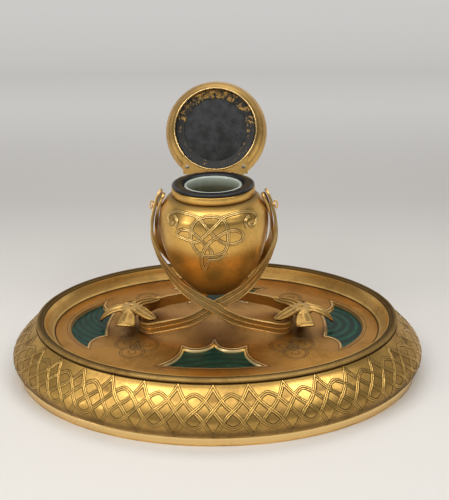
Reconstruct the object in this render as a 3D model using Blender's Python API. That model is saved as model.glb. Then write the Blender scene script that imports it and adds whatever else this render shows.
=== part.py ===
"""Oval desk inkstand in gilt bronze and malachite, with a lidded pot hung between crossed ribbons.

Metres, +Z up. The origin is the centre of the foot on the table. -Y is the front, +X the right.
"""

import math

import bmesh
import bpy
from mathutils import Matrix, Vector

# Fits shared by all the pieces
SEAT_GAP = 0.0003
CUT_OVERRUN = 0.002
BORE_GAP = 0.0003

# Oval foot border
FOOT_LENGTH = 0.2854
FOOT_DEPTH = 0.2120
BORDER_HEIGHT = 0.0365
BORDER_WALL = 0.0032
FOOT_TREAD = 0.0050
FLANGE_THICKNESS = 0.0028
BORDER_SEGMENTS = 72
# Inward share of the run from foot to rim, and upward share of the border's height
SKIRT_SHARES = [
    (0.0, 0.0), (0.0, 0.162), (0.045, 0.176), (-0.085, 0.205), (-0.196, 0.274), (-0.266, 0.384),
    (-0.203, 0.493), (-0.028, 0.603), (0.224, 0.712), (0.517, 0.822), (0.839, 0.932), (1.0, 1.0),
]
PLINTH_STEPS = 2

# Moulded rim that drops into the border
RIM_LENGTH = 0.2568
RIM_DEPTH = 0.1890
RIM_WIDTH = 0.0129
RIM_RISE = 0.0035
RIM_SEAT_INSET = 0.0008
RIM_NECK_INSET = 0.0054
# Inward share of the rim's width, and share of its height from plate top to bead top
RIM_OUTER_SHARES = [(0.0, 0.74), (0.015, 0.87), (0.09, 0.97), (0.20, 1.0), (0.31, 0.95)]
RIM_INNER_SHARES = [
    (0.40, 0.83), (0.46, 0.83), (0.54, 0.70), (0.64, 0.47), (0.77, 0.24), (0.91, 0.08), (1.0, 0.0),
]
RIM_SOLE_SHARE = 0.70
RIM_WAIST_SHARE = 0.55

# Pierced plate, its windows and the slabs below it
PLATE_TOP = 0.0304
PLATE_THICKNESS = 0.0020
PANEL_END_MARGIN = 0.0102
PANEL_SIDE_MARGIN = 0.0178
SLAB_THICKNESS = 0.0022
SLAB_MARGIN = 0.0014
MITRE_SHARE = 0.6
BED_THICKNESS = 0.0020
BED_INSET = 0.0095
# Places of the window corners, as shares of the panel oval's half length and half depth
END_CORNER_SHARE = 0.822
END_NOTCH_X_SHARE = 0.733
END_NOTCH_Y_SHARE = 0.291
SIDE_CORNER_SHARE = 0.326
SIDE_NOTCH_X_SHARE = 0.204
SIDE_NOTCH_Y_SHARE = 0.551
SIDE_CUSP_Y_SHARE = 0.403
# Bulge of each lobe into its window, as a share of its chord
END_LOBE_BULGE_SHARE = 0.21
END_TAB_BULGE_SHARE = 0.054
SIDE_LOBE_BULGE_SHARE = 0.148
# Way in which a scallop leaves the cusp, from the panel's long axis
SCALLOP_START = math.radians(91.0)
WINDOW_ARC_STEPS = 8
WINDOW_OVAL_STEPS = 14

# Pot
POT_RADIUS = 0.0373
POT_HEIGHT = 0.0710
POT_WALL = 0.0020
POT_HANG = 0.0272
POT_SEGMENTS = 36
# Share of the pot's radius, and share of its height, from the foot to the mouth
POT_SHARES = [
    (0.23, 0.0), (0.35, 0.017), (0.455, 0.065), (0.555, 0.120), (0.690, 0.204), (0.796, 0.289),
    (0.866, 0.373), (0.92, 0.458), (0.968, 0.556), (0.995, 0.669), (1.0, 0.76), (0.978, 0.85),
    (0.944, 0.894), (0.906, 0.930), (0.853, 0.965), (0.79, 0.990), (0.745, 1.0),
]

# Collar, black ring and glass cup
COLLAR_RADIUS = 0.0282
COLLAR_HEIGHT = 0.0052
COLLAR_WALL = 0.0028
SPIGOT_LENGTH = 0.0040
SPIGOT_WALL = 0.0018
RING_INSET = 0.0005
RING_THICKNESS = 0.0017
RING_EDGE_SHARE = 0.25
RING_HOLE_RADIUS = 0.0192
RING_REBATE = 0.0012
RING_SPIGOT = 0.0020
CUP_LIP = 0.0011
CUP_WALL = 0.0018
CUP_DEPTH = 0.0480
CUP_CORNER = 0.0060
CUP_CORNER_SHARE = 0.3
TURN_SEGMENTS = 36

# Lid, in its closed place over the collar
LID_RADIUS = 0.0368
LID_DOME_HEIGHT = 0.0363
LID_LIP_RADIUS = 0.0296
LID_LIP_WALL = 0.0009
LID_LIP_HEIGHT = 0.0026
LID_OVERLAP = 0.0042
LID_WALL = 0.0018
LEDGE_THICKNESS = 0.0018
LID_HEADROOM = 0.0009
LINING_RADIUS = 0.0228
LINING_THICKNESS = 0.0014
LINING_SEAT_SHARE = 0.5
# Share of the way out from lip to widest radius, or share of that radius, and share of the height
LID_FLARE_SHARES = [(0.22, 0.105), (0.62, 0.200), (0.90, 0.310)]
LID_DOME_SHARES = [
    (1.0, 0.400), (0.978, 0.535), (0.902, 0.690), (0.777, 0.815), (0.609, 0.905), (0.408, 0.964),
    (0.204, 0.991), (0.0, 1.0),
]

# Lid hinge
OPEN_ANGLE = math.radians(113.0)
HINGE_STANDOFF = 0.0026
KNUCKLE_RADIUS = 0.0019
HINGE_PIN_RADIUS = 0.0009
RUNNING_GAP = 0.00008
LID_KNUCKLE_LENGTH = 0.0100
COLLAR_KNUCKLE_LENGTH = 0.0060
LEAF_PLATE_THICKNESS = 0.0016
LID_LEAF_WIDTH = 0.0460
LID_LEAF_THICKNESS = 0.0020
BARREL_SIDES = 16
LIP_CUT_SIDES = 48

# Ribbons: flat straps bent from the side pins to the feet
BAND_WIDTH = 0.0084
BAND_THICKNESS = 0.0020
BAND_EDGE = 0.0004
LAP_GAP = 0.0006
STRAP_CLEARANCE = 0.0015
PIN_HEIGHT_SHARE = 0.890
CROSSING_DROP = 0.0048
CROSSING_Y = 0.0192
CROSSING_LEAN = math.radians(14.9)
LEG_Y = 0.0213
TURN_X = 0.0543
RIBBON_STEPS = 40
# Above the crossing: shares of the strap's spread, of the crossing's depth and of the rise to the pin
UPPER_SHARES = [
    (0.832, -0.145, 1.140), (0.898, -0.073, 1.066), (0.938, 0.0, 0.990), (0.984, 0.10, 0.887),
    (1.0, 0.207, 0.782), (0.993, 0.341, 0.648), (0.927, 0.469, 0.514), (0.820, 0.581, 0.402),
    (0.671, 0.740, 0.284), (0.488, 0.865, 0.176), (0.250, 0.925, 0.080), (0.0, 1.0, 0.0),
]
# Below it: shares of the turn's reach, of the leg's stand-off and of the height from foot to crossing
LOWER_SHARES = [
    (0.157, 0.965, 0.693), (0.331, 0.995, 0.453), (0.534, 1.0, 0.296), (0.700, 1.0, 0.190),
    (0.829, 0.939, 0.085), (0.930, 0.742, 0.017), (0.987, 0.423, 0.0), (1.0, 0.012, 0.0),
]
# Share of the ribbon's length, and share of the quarter turn that its face has made by then
TWIST_SHARES = [
    (0.0, 0.0), (0.13, 0.03), (0.20, 0.16), (0.31, 0.26), (0.37, 0.40), (0.43, 0.62), (0.49, 0.92),
    (0.53, 1.0), (1.0, 1.0),
]
# Shares of the ribbon's length where its face leaves the lean of the crossing and stands upright
UPRIGHT_SHARES = [(0.60, 0.0), (0.75, 1.0)]
# Shares of the ribbon's length where it keeps to its side of the lap at the pin and at the crossing
PIN_LAP_SHARES = [(0.17, 1.0), (0.25, 0.0)]
CROSSING_LAP_SHARES = [(0.475, 0.0), (0.53, 1.0), (0.62, 1.0), (0.68, 0.0)]

# Eye-headed pins through the ribbon ends
PIN_RADIUS = 0.0011
EYE_HEIGHT = 0.0066
EYE_REACH = 0.0030
EYE_WIRE = 0.0010
EYE_STEPS = 18
EYE_TILT = math.radians(12.0)
PIN_BITE = 0.0022

# Cast leaves over the ribbon ends
LEAF_X = 0.0610
LEAF_HUB_RADIUS = 0.0072
LEAF_HUB_HEIGHT = 0.0034
LEAF_REACH = 0.0226
LEAF_SIDE_REACH = 0.0140
LEAF_ARM_X = 0.0184
LEAF_ARM_Y = 0.0165
LEAF_DROOP = 0.0086
PETAL_WIDTH = 0.0078
PETAL_THICKNESS = 0.0018
PETAL_STEPS = 7
HUB_SIDES = 16
PETAL_CAMBER_SHARE = 0.35
# Shares of the hub's radius and of its height
HUB_SHARES = [(0.0, 0.0), (0.8, 0.0), (1.0, 0.45), (0.7, 0.85), (0.0, 1.0)]
PETAL_LEVEL_SHARE = 0.45
# Spines: shares of the petal's reach out and sideways, share of the droop
TIP_SPINE_SHARES = [(0.13, 0.0, 0.0), (0.50, 0.0, -0.06), (0.80, 0.0, 0.50), (1.0, 0.0, 1.0)]
LOBE_SPINE_SHARES = [(0.07, 0.20, 0.0), (0.13, 0.55, -0.05), (0.20, 0.88, 0.45), (0.24, 1.0, 0.80)]
ARM_SPINE_SHARES = [(0.15, 0.12, 0.0), (0.45, 0.50, -0.12), (0.80, 0.80, -0.10), (1.0, 1.0, -0.08)]
# Share of a petal's length, and share of its width there
TIP_WIDTH_SHARES = [(0.0, 0.9), (0.45, 1.25), (0.8, 0.8), (1.0, 0.15)]
LOBE_WIDTH_SHARES = [(0.0, 0.9), (0.5, 1.35), (0.8, 1.2), (1.0, 0.35)]
ARM_WIDTH_SHARES = [(0.0, 0.8), (0.4, 0.75), (0.8, 0.55), (1.0, 0.12)]
# Petal section: share of its half width, and share of its half thickness
PETAL_SECTION_SHARES = [
    (-1.0, -0.3), (-0.5, -1.0), (0.0, -1.0), (0.5, -1.0), (1.0, -0.3),
    (1.0, 0.3), (0.5, 1.0), (0.0, 0.7), (-0.5, 1.0), (-1.0, 0.3),
]

# Studs and nuts under the leaves
STUD_RADIUS = 0.0016
STUD_TAIL = 0.0052
STUD_BITE_SHARE = 0.5
NUT_RADIUS = 0.0040
NUT_THICKNESS = 0.0024
NUT_SIDES = 6

# Screws up through the bed plate into the rim
SCREW_RADIUS = 0.0012
SCREW_LENGTH = 0.0052
SCREW_HEAD_RADIUS = 0.0024
SCREW_HEAD_HEIGHT = 0.0014
SCREW_INSET = 0.0112
SCREW_TURN = math.radians(38.0)
SCREW_TIP_GAP = 0.0006
ROUND_SIDES = 12

# Derived levels and places
RIM_TOP = BORDER_HEIGHT + SEAT_GAP + RIM_RISE
RIM_SEAT = BORDER_HEIGHT + SEAT_GAP
SLAB_TOP = PLATE_TOP - PLATE_THICKNESS - SEAT_GAP
BED_TOP = SLAB_TOP - SLAB_THICKNESS - SEAT_GAP
RIM_SOLE = BED_TOP + SEAT_GAP
PLATE_INSET = RIM_WIDTH + SEAT_GAP
PANEL_LENGTH = RIM_LENGTH - 2 * (PLATE_INSET + PANEL_END_MARGIN)
PANEL_DEPTH = RIM_DEPTH - 2 * (PLATE_INSET + PANEL_SIDE_MARGIN)
POT_BOTTOM = PLATE_TOP + POT_HANG
POT_TOP = POT_BOTTOM + POT_HEIGHT
COLLAR_BASE = POT_TOP + SEAT_GAP
COLLAR_TOP = COLLAR_BASE + COLLAR_HEIGHT
RING_BASE = COLLAR_TOP + SEAT_GAP
RING_TOP = RING_BASE + RING_THICKNESS
LID_CEILING = RING_TOP + LID_HEADROOM
LID_BASE = LID_CEILING - LID_OVERLAP
HINGE_Y = LID_LIP_RADIUS + HINGE_STANDOFF
HINGE_Z = LID_BASE
PIN_Z = POT_BOTTOM + PIN_HEIGHT_SHARE * POT_HEIGHT
CROSSING_Z = POT_BOTTOM - CROSSING_DROP
FOOT_Z = PLATE_TOP + SEAT_GAP + BAND_WIDTH / 2
LAP = BAND_THICKNESS + LAP_GAP
STRAP_SPREAD = POT_RADIUS + STRAP_CLEARANCE + BAND_THICKNESS + SEAT_GAP / 2
LEAF_BASE = PLATE_TOP + BAND_WIDTH + 2 * SEAT_GAP


def clear_scene():
    for thing in list(bpy.data.objects):
        bpy.data.objects.remove(thing, do_unlink=True)


def finish_material(name, colour, roughness, metallic):
    mat = bpy.data.materials.get(name)
    if mat is None:
        mat = bpy.data.materials.new(name)
        mat.use_nodes = True
        shader = mat.node_tree.nodes["Principled BSDF"]
        shader.inputs["Base Color"].default_value = (*colour, 1.0)
        shader.inputs["Roughness"].default_value = roughness
        shader.inputs["Metallic"].default_value = metallic
        mat.diffuse_color = (*colour, 1.0)
    return mat


FINISHES = {
    "gilt": ((0.66, 0.42, 0.15), 0.34, 1.0),
    "gilt_plate": ((0.48, 0.32, 0.16), 0.42, 1.0),
    "brass": ((0.62, 0.45, 0.20), 0.50, 1.0),
    "malachite": ((0.010, 0.085, 0.050), 0.18, 0.0),
    "black_glass": ((0.008, 0.008, 0.010), 0.08, 0.0),
    "pale_glass": ((0.48, 0.55, 0.48), 0.10, 0.0),
    "lining": ((0.030, 0.034, 0.034), 0.85, 0.0),
    "steel": ((0.42, 0.40, 0.38), 0.40, 1.0),
}


def add_piece(name, verts, faces, finish, smooth_angle=math.radians(32.0)):
    mesh = bpy.data.meshes.new(name)
    mesh.from_pydata([tuple(v) for v in verts], [], faces)
    work = bmesh.new()
    work.from_mesh(mesh)
    bmesh.ops.recalc_face_normals(work, faces=work.faces)
    work.to_mesh(mesh)
    work.free()
    mesh.shade_smooth()
    mesh.set_sharp_from_angle(angle=smooth_angle)
    mesh.materials.append(finish_material(finish, *FINISHES[finish]))
    piece = bpy.data.objects.new(name, mesh)
    bpy.context.collection.objects.link(piece)
    return piece


def make_cutter(piece):
    piece.hide_render = True
    piece.display_type = "WIRE"
    return piece


def cut(piece, cutter, operation="DIFFERENCE"):
    boolean = piece.modifiers.new(cutter.name, "BOOLEAN")
    boolean.operation = operation
    boolean.solver = "EXACT"
    boolean.object = cutter
    make_cutter(cutter)


def oval_ring(name, section, segments, finish):
    """A ring whose closed section is a list of (half length, half depth, height)."""
    verts = []
    for half_length, half_depth, height in section:
        for step in range(segments):
            angle = 2 * math.pi * step / segments
            verts.append((half_length * math.cos(angle), half_depth * math.sin(angle), height))
    faces = []
    rows = len(section)
    for row in range(rows):
        below = row * segments
        above = ((row + 1) % rows) * segments
        for step in range(segments):
            after = (step + 1) % segments
            faces.append((below + step, below + after, above + after, above + step))
    return add_piece(name, verts, faces, finish)


def prism(name, outline, low, high, finish):
    """An upright solid on a plan outline of (x, y) points."""
    count = len(outline)
    verts = [(x, y, low) for x, y in outline] + [(x, y, high) for x, y in outline]
    faces = [tuple(reversed(range(count))), tuple(range(count, 2 * count))]
    for step in range(count):
        after = (step + 1) % count
        faces.append((step, after, count + after, count + step))
    return add_piece(name, verts, faces, finish)


def oval_outline(half_length, half_depth, segments):
    turns = [2 * math.pi * step / segments for step in range(segments)]
    return [(half_length * math.cos(turn), half_depth * math.sin(turn)) for turn in turns]


def revolve(name, profile, segments, finish):
    """Turn an open profile of (radius, height) that starts and ends on the axis, or a closed one."""
    verts = []
    rows = []
    for radius, height in profile:
        if radius == 0:
            rows.append([len(verts)] * segments)
            verts.append((0, 0, height))
        else:
            rows.append(list(range(len(verts), len(verts) + segments)))
            for step in range(segments):
                angle = 2 * math.pi * step / segments
                verts.append((radius * math.cos(angle), radius * math.sin(angle), height))
    closed = profile[0][0] > 0
    pairs = len(rows) if closed else len(rows) - 1
    faces = []
    for index in range(pairs):
        low = rows[index]
        high = rows[(index + 1) % len(rows)]
        for step in range(segments):
            after = (step + 1) % segments
            corners = [low[step], low[after], high[after], high[step]]
            face = list(dict.fromkeys(corners))
            if len(face) > 2:
                faces.append(tuple(face))
    return add_piece(name, verts, faces, finish)


def rod(name, start, end, radius, sides, finish):
    """A round bar from one point to another."""
    start = Vector(start)
    end = Vector(end)
    turn = (end - start).to_track_quat("Z", "Y")
    length = (end - start).length
    verts = []
    for height in (0, length):
        for step in range(sides):
            angle = 2 * math.pi * step / sides
            local = Vector((radius * math.cos(angle), radius * math.sin(angle), height))
            verts.append(start + turn @ local)
    faces = [tuple(reversed(range(sides))), tuple(range(sides, 2 * sides))]
    for step in range(sides):
        after = (step + 1) % sides
        faces.append((step, after, sides + after, sides + step))
    return add_piece(name, verts, faces, finish)


def sweep(name, loops, finish):
    """Join a row of equal section loops, and close both ends."""
    size = len(loops[0])
    verts = [point for loop in loops for point in loop]
    faces = [tuple(range(size)), tuple(reversed(range((len(loops) - 1) * size, len(loops) * size)))]
    for row in range(len(loops) - 1):
        for step in range(size):
            after = (step + 1) % size
            low = row * size
            high = low + size
            faces.append((low + step, high + step, high + after, low + after))
    return add_piece(name, verts, faces, finish)


def lerp_table(table, value):
    """Read a table of (place, amount) pairs, straight between its rows."""
    if value <= table[0][0]:
        return table[0][1]
    for (low, first), (high, second) in zip(table, table[1:]):
        if value <= high:
            part = (value - low) / (high - low)
            return first + (second - first) * part
    return table[-1][1]


def smooth_path(points, steps, per_span=16):
    """Even points on a smooth curve through the given ones."""
    points = [Vector(point) for point in points]
    first = points[0] * 2 - points[1]
    last = points[-1] * 2 - points[-2]
    ring = [first] + points + [last]
    fine = []
    for index in range(1, len(ring) - 2):
        a, b, c, d = ring[index - 1:index + 3]
        for step in range(per_span):
            t = step / per_span
            fine.append(
                0.5 * ((2 * b) + (c - a) * t + (2 * a - 5 * b + 4 * c - d) * t ** 2
                       + (3 * b - a - 3 * c + d) * t ** 3)
            )
    fine.append(points[-1])
    along = [0.0]
    for before, after in zip(fine, fine[1:]):
        along.append(along[-1] + (after - before).length)
    even = []
    index = 0
    for step in range(steps + 1):
        want = along[-1] * step / steps
        while index < len(fine) - 2 and along[index + 1] < want:
            index += 1
        span = along[index + 1] - along[index]
        even.append(fine[index].lerp(fine[index + 1], (want - along[index]) / span))
    return even


def arc_points(start, end, bulge_share, steps):
    """Points of a round arc from start towards end, bulging to the left of the way it runs."""
    start = Vector(start)
    end = Vector(end)
    chord = end - start
    side = Vector((-chord.y, chord.x))
    half_turn = 2 * math.atan(2 * bulge_share)
    centre = (start + end) / 2 - side / (2 * math.tan(half_turn))
    points = []
    for step in range(steps):
        turn = Matrix.Rotation(-2 * half_turn * step / steps, 2)
        place = centre + turn @ (start - centre)
        points.append((place.x, place.y))
    return points


def end_window():
    """Outline of the right-hand window, counter-clockwise."""
    half_length = PANEL_LENGTH / 2
    half_depth = PANEL_DEPTH / 2
    corner = math.acos(END_CORNER_SHARE)
    points = []
    for step in range(WINDOW_OVAL_STEPS):
        turn = -corner + 2 * corner * step / WINDOW_OVAL_STEPS
        points.append((half_length * math.cos(turn), half_depth * math.sin(turn)))
    top = (half_length * math.cos(corner), half_depth * math.sin(corner))
    notch_up = (END_NOTCH_X_SHARE * half_length, END_NOTCH_Y_SHARE * half_depth)
    notch_down = (notch_up[0], -notch_up[1])
    bottom = (top[0], -top[1])
    points += arc_points(top, notch_up, END_LOBE_BULGE_SHARE, WINDOW_ARC_STEPS)
    points += arc_points(notch_up, notch_down, END_TAB_BULGE_SHARE, WINDOW_ARC_STEPS)
    points += arc_points(notch_down, bottom, END_LOBE_BULGE_SHARE, WINDOW_ARC_STEPS)
    return points


def side_window():
    """Outline of the back window, counter-clockwise."""
    half_length = PANEL_LENGTH / 2
    half_depth = PANEL_DEPTH / 2
    corner = math.acos(SIDE_CORNER_SHARE)
    points = []
    for step in range(WINDOW_OVAL_STEPS):
        turn = corner + (math.pi - 2 * corner) * step / WINDOW_OVAL_STEPS
        points.append((half_length * math.cos(turn), half_depth * math.sin(turn)))
    right = (half_length * math.cos(corner), half_depth * math.sin(corner))
    left = (-right[0], right[1])
    notch_left = (-SIDE_NOTCH_X_SHARE * half_length, SIDE_NOTCH_Y_SHARE * half_depth)
    notch_right = (-notch_left[0], notch_left[1])
    cusp = (0, SIDE_CUSP_Y_SHARE * half_depth)
    chord_turn = math.atan2(notch_right[1] - cusp[1], notch_right[0])
    scallop_bulge = math.tan((SCALLOP_START - chord_turn) / 2) / 2
    points += arc_points(left, notch_left, SIDE_LOBE_BULGE_SHARE, WINDOW_ARC_STEPS)
    points += arc_points(notch_left, cusp, scallop_bulge, WINDOW_ARC_STEPS)
    points += arc_points(cusp, notch_right, scallop_bulge, WINDOW_ARC_STEPS)
    points += arc_points(notch_right, right, SIDE_LOBE_BULGE_SHARE, WINDOW_ARC_STEPS)
    return points


def half_turned(outline):
    return [(-x, -y) for x, y in outline]


def grown(outline, margin):
    """The outline moved outwards by a margin."""
    count = len(outline)
    result = []
    for index in range(count):
        before = Vector(outline[index - 1])
        here = Vector(outline[index])
        after = Vector(outline[(index + 1) % count])
        run_in = (here - before).normalized()
        run_out = (after - here).normalized()
        normal = Vector((run_in.y + run_out.y, -run_in.x - run_out.x))
        if normal.length > 0:
            normal.normalize()
        reach = margin / max(MITRE_SHARE, normal.dot(Vector((run_in.y, -run_in.x))))
        place = here + normal * reach
        result.append((place.x, place.y))
    return result


def build_foot_border():
    foot = (FOOT_LENGTH / 2, FOOT_DEPTH / 2)
    rim = (RIM_LENGTH / 2, RIM_DEPTH / 2)

    def place(inward_share, upward_share, inset):
        half_length = foot[0] + (rim[0] - foot[0]) * inward_share - inset
        half_depth = foot[1] + (rim[1] - foot[1]) * inward_share - inset
        return (half_length, half_depth, upward_share * BORDER_HEIGHT)

    outer = [place(inward, upward, 0) for inward, upward in SKIRT_SHARES]
    flange_low = BORDER_HEIGHT - FLANGE_THICKNESS
    neck = RIM_NECK_INSET - SEAT_GAP
    flange = [(rim[0] - neck, rim[1] - neck, BORDER_HEIGHT), (rim[0] - neck, rim[1] - neck, flange_low)]
    inner = [place(0, 0, FOOT_TREAD)]
    for inward, upward in SKIRT_SHARES[PLINTH_STEPS + 1:-1]:
        if upward * BORDER_HEIGHT < flange_low - BORDER_WALL:
            inner.append(place(inward, upward, BORDER_WALL))
    wall_top = [(rim[0] - BORDER_WALL, rim[1] - BORDER_WALL, flange_low)]
    section = outer + flange + wall_top + list(reversed(inner))
    return oval_ring("foot_border", section, BORDER_SEGMENTS, "gilt")


def build_tray_rim():
    half_length = RIM_LENGTH / 2
    half_depth = RIM_DEPTH / 2
    rise = RIM_TOP - PLATE_TOP
    section = [(half_length - RIM_SEAT_INSET, half_depth - RIM_SEAT_INSET, RIM_SEAT)]
    for inward, upward in RIM_OUTER_SHARES + RIM_INNER_SHARES:
        inset = inward * RIM_WIDTH
        section.append((half_length - inset, half_depth - inset, PLATE_TOP + upward * rise))
    sole_inset = RIM_WIDTH * RIM_SOLE_SHARE
    waist = RIM_SOLE + (RIM_SEAT - RIM_SOLE) * RIM_WAIST_SHARE
    section.append((half_length - RIM_WIDTH, half_depth - RIM_WIDTH, RIM_SOLE))
    section.append((half_length - sole_inset, half_depth - sole_inset, RIM_SOLE))
    section.append((half_length - RIM_NECK_INSET, half_depth - RIM_NECK_INSET, waist))
    section.append((half_length - RIM_NECK_INSET, half_depth - RIM_NECK_INSET, RIM_SEAT))
    return oval_ring("tray_rim", section, BORDER_SEGMENTS, "gilt")


def stud_hole(name, side):
    low = BED_TOP - BED_THICKNESS - CUT_OVERRUN
    high = PLATE_TOP + CUT_OVERRUN
    x = side * LEAF_X
    return rod(name, (x, 0, low), (x, 0, high), STUD_RADIUS + BORE_GAP, ROUND_SIDES, "gilt")


def build_tray(rim):
    half_length = RIM_LENGTH / 2 - PLATE_INSET
    half_depth = RIM_DEPTH / 2 - PLATE_INSET
    outline = oval_outline(half_length, half_depth, BORDER_SEGMENTS)
    plate = prism("tray_plate", outline, PLATE_TOP - PLATE_THICKNESS, PLATE_TOP, "gilt_plate")
    bed_outline = oval_outline(RIM_LENGTH / 2 - BED_INSET, RIM_DEPTH / 2 - BED_INSET, BORDER_SEGMENTS)
    bed = prism("bed_plate", bed_outline, BED_TOP - BED_THICKNESS, BED_TOP, "brass")
    windows = {
        "right": end_window(),
        "left": half_turned(end_window()),
        "back": side_window(),
        "front": half_turned(side_window()),
    }
    for place, window in windows.items():
        low = PLATE_TOP - PLATE_THICKNESS - CUT_OVERRUN
        cut(plate, prism("window_" + place, window, low, PLATE_TOP + CUT_OVERRUN, "gilt_plate"))
        slab = grown(window, SLAB_MARGIN)
        prism("malachite_" + place, slab, SLAB_TOP - SLAB_THICKNESS, SLAB_TOP, "malachite")
    for side, word in ((-1, "left"), (1, "right")):
        hole = stud_hole("hole_" + word, side)
        cut(plate, hole)
        cut(bed, hole)
    for word, x, y in screw_places():
        low = BED_TOP - BED_THICKNESS - CUT_OVERRUN
        high = BED_TOP - BED_THICKNESS - SEAT_GAP + SCREW_LENGTH + SCREW_TIP_GAP
        radius = SCREW_RADIUS + BORE_GAP
        hole = rod("screw_hole_" + word, (x, y, low), (x, y, high), radius, ROUND_SIDES, "brass")
        cut(bed, hole)
        cut(rim, hole)


def pot_radius_at(height):
    table = [(upward * POT_HEIGHT + POT_BOTTOM, share * POT_RADIUS) for share, upward in POT_SHARES]
    return lerp_table(table, height)


def build_pot():
    outer = [(share * POT_RADIUS, POT_BOTTOM + upward * POT_HEIGHT) for share, upward in POT_SHARES]
    mouth = COLLAR_RADIUS - COLLAR_WALL + SEAT_GAP
    floor = POT_BOTTOM + POT_WALL
    inner = [(0, floor)]
    for radius, height in outer[1:-1]:
        if height > floor + POT_WALL and radius - POT_WALL > 0 and height < POT_TOP - POT_WALL:
            inner.append((radius - POT_WALL, height))
    inner = [point for point in inner if point[1] < POT_TOP - SPIGOT_LENGTH or point[0] > mouth]
    inner += [(mouth, POT_TOP - POT_WALL), (mouth, POT_TOP)]
    profile = [(0, POT_BOTTOM)] + outer[:-1] + [(outer[-1][0], POT_TOP)] + list(reversed(inner))
    pot = revolve("pot_body", profile, POT_SEGMENTS, "gilt")
    reach = POT_RADIUS + CUT_OVERRUN
    start = (-reach, 0, PIN_Z)
    bore = rod("pin_bore", start, (reach, 0, PIN_Z), PIN_RADIUS + BORE_GAP, ROUND_SIDES, "gilt")
    cut(pot, bore)
    return pot


def build_collar_and_ring():
    inner = COLLAR_RADIUS - COLLAR_WALL
    spigot = inner - SPIGOT_WALL
    collar = [
        (COLLAR_RADIUS, COLLAR_TOP), (COLLAR_RADIUS, COLLAR_BASE), (inner, COLLAR_BASE),
        (inner, COLLAR_BASE - SPIGOT_LENGTH), (spigot, COLLAR_BASE - SPIGOT_LENGTH), (spigot, COLLAR_TOP),
    ]
    revolve("pot_collar", collar, TURN_SEGMENTS, "gilt")
    outer = COLLAR_RADIUS - RING_INSET
    seat = spigot - SEAT_GAP
    edge = RING_THICKNESS * RING_EDGE_SHARE
    rebate = RING_HOLE_RADIUS + RING_REBATE
    ring = [
        (outer, RING_BASE), (outer, RING_TOP - edge), (outer - edge, RING_TOP),
        (rebate, RING_TOP), (rebate, RING_TOP - CUP_LIP - SEAT_GAP),
        (RING_HOLE_RADIUS, RING_TOP - CUP_LIP - SEAT_GAP), (RING_HOLE_RADIUS, RING_BASE - RING_SPIGOT),
        (seat, RING_BASE - RING_SPIGOT), (seat, RING_BASE),
    ]
    revolve("liner_ring", ring, TURN_SEGMENTS, "black_glass")


def build_cup():
    lip = RING_HOLE_RADIUS + RING_REBATE - SEAT_GAP
    outer = RING_HOLE_RADIUS - SEAT_GAP
    inner = outer - CUP_WALL
    floor = RING_TOP - CUP_DEPTH
    top = RING_TOP
    soft = CUP_CORNER * CUP_CORNER_SHARE
    profile = [
        (0, floor), (outer - CUP_CORNER, floor), (outer - soft, floor + soft), (outer, floor + CUP_CORNER),
        (outer, top - CUP_LIP), (lip, top - CUP_LIP), (lip, top), (inner, top),
        (inner, floor + CUP_CORNER), (inner - soft, floor + CUP_WALL + soft),
        (outer - CUP_CORNER, floor + CUP_WALL), (0, floor + CUP_WALL),
    ]
    return revolve("glass_liner", profile, TURN_SEGMENTS, "pale_glass")


def hinge_empty():
    """The hinge axis. The lid's pieces are modelled closed, and this turns them open."""
    empty = bpy.data.objects.new("lid_axis", None)
    bpy.context.collection.objects.link(empty)
    empty.location = (0, HINGE_Y, HINGE_Z)
    empty.rotation_euler = (-OPEN_ANGLE, 0, 0)
    return empty


def hang_on(empty, piece):
    piece.parent = empty
    piece.matrix_parent_inverse = Matrix.Translation((0, -HINGE_Y, -HINGE_Z))


def build_lid(empty):
    lip_inner = LID_LIP_RADIUS - LID_LIP_WALL
    run = LID_RADIUS - LID_LIP_RADIUS
    outer = [(LID_LIP_RADIUS, LID_BASE), (LID_LIP_RADIUS, LID_BASE + LID_LIP_HEIGHT)]
    for share, upward in LID_FLARE_SHARES:
        outer.append((LID_LIP_RADIUS + share * run, LID_BASE + upward * LID_DOME_HEIGHT))
    for share, upward in LID_DOME_SHARES:
        outer.append((share * LID_RADIUS, LID_BASE + upward * LID_DOME_HEIGHT))
    ledge_top = LID_CEILING + LEDGE_THICKNESS
    inner = [(0, LID_BASE + LID_DOME_HEIGHT - LID_WALL)]
    for share, upward in reversed(LID_DOME_SHARES[:-1]):
        shrink = (LID_RADIUS - LID_WALL) / LID_RADIUS
        inner.append((share * LID_RADIUS * shrink, LID_BASE + upward * (LID_DOME_HEIGHT - LID_WALL)))
    inner.append((LID_LIP_RADIUS + LINING_SEAT_SHARE * run, ledge_top))
    seat = LINING_RADIUS + SEAT_GAP
    ledge = [(seat, ledge_top), (seat, LID_CEILING), (lip_inner, LID_CEILING), (lip_inner, LID_BASE)]
    profile = list(reversed(outer)) + list(reversed(ledge)) + list(reversed(inner))
    shell = revolve("lid_shell", profile, POT_SEGMENTS, "gilt")
    low = LID_CEILING + SEAT_GAP / 2
    high = low + LINING_THICKNESS
    disc = [(0, low), (LINING_RADIUS, low), (LINING_RADIUS, high), (0, high)]
    lining = revolve("lid_lining", disc, POT_SEGMENTS, "lining")
    for piece in (shell, lining):
        hang_on(empty, piece)


def hinge_bore(name):
    reach = LID_KNUCKLE_LENGTH / 2 + COLLAR_KNUCKLE_LENGTH + CUT_OVERRUN
    start = (-reach, HINGE_Y, HINGE_Z)
    end = (reach, HINGE_Y, HINGE_Z)
    return rod(name, start, end, HINGE_PIN_RADIUS + RUNNING_GAP, ROUND_SIDES, "gilt")


def box(name, low, high, finish):
    outline = [(low[0], low[1]), (high[0], low[1]), (high[0], high[1]), (low[0], high[1])]
    return prism(name, outline, low[2], high[2], finish)


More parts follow.
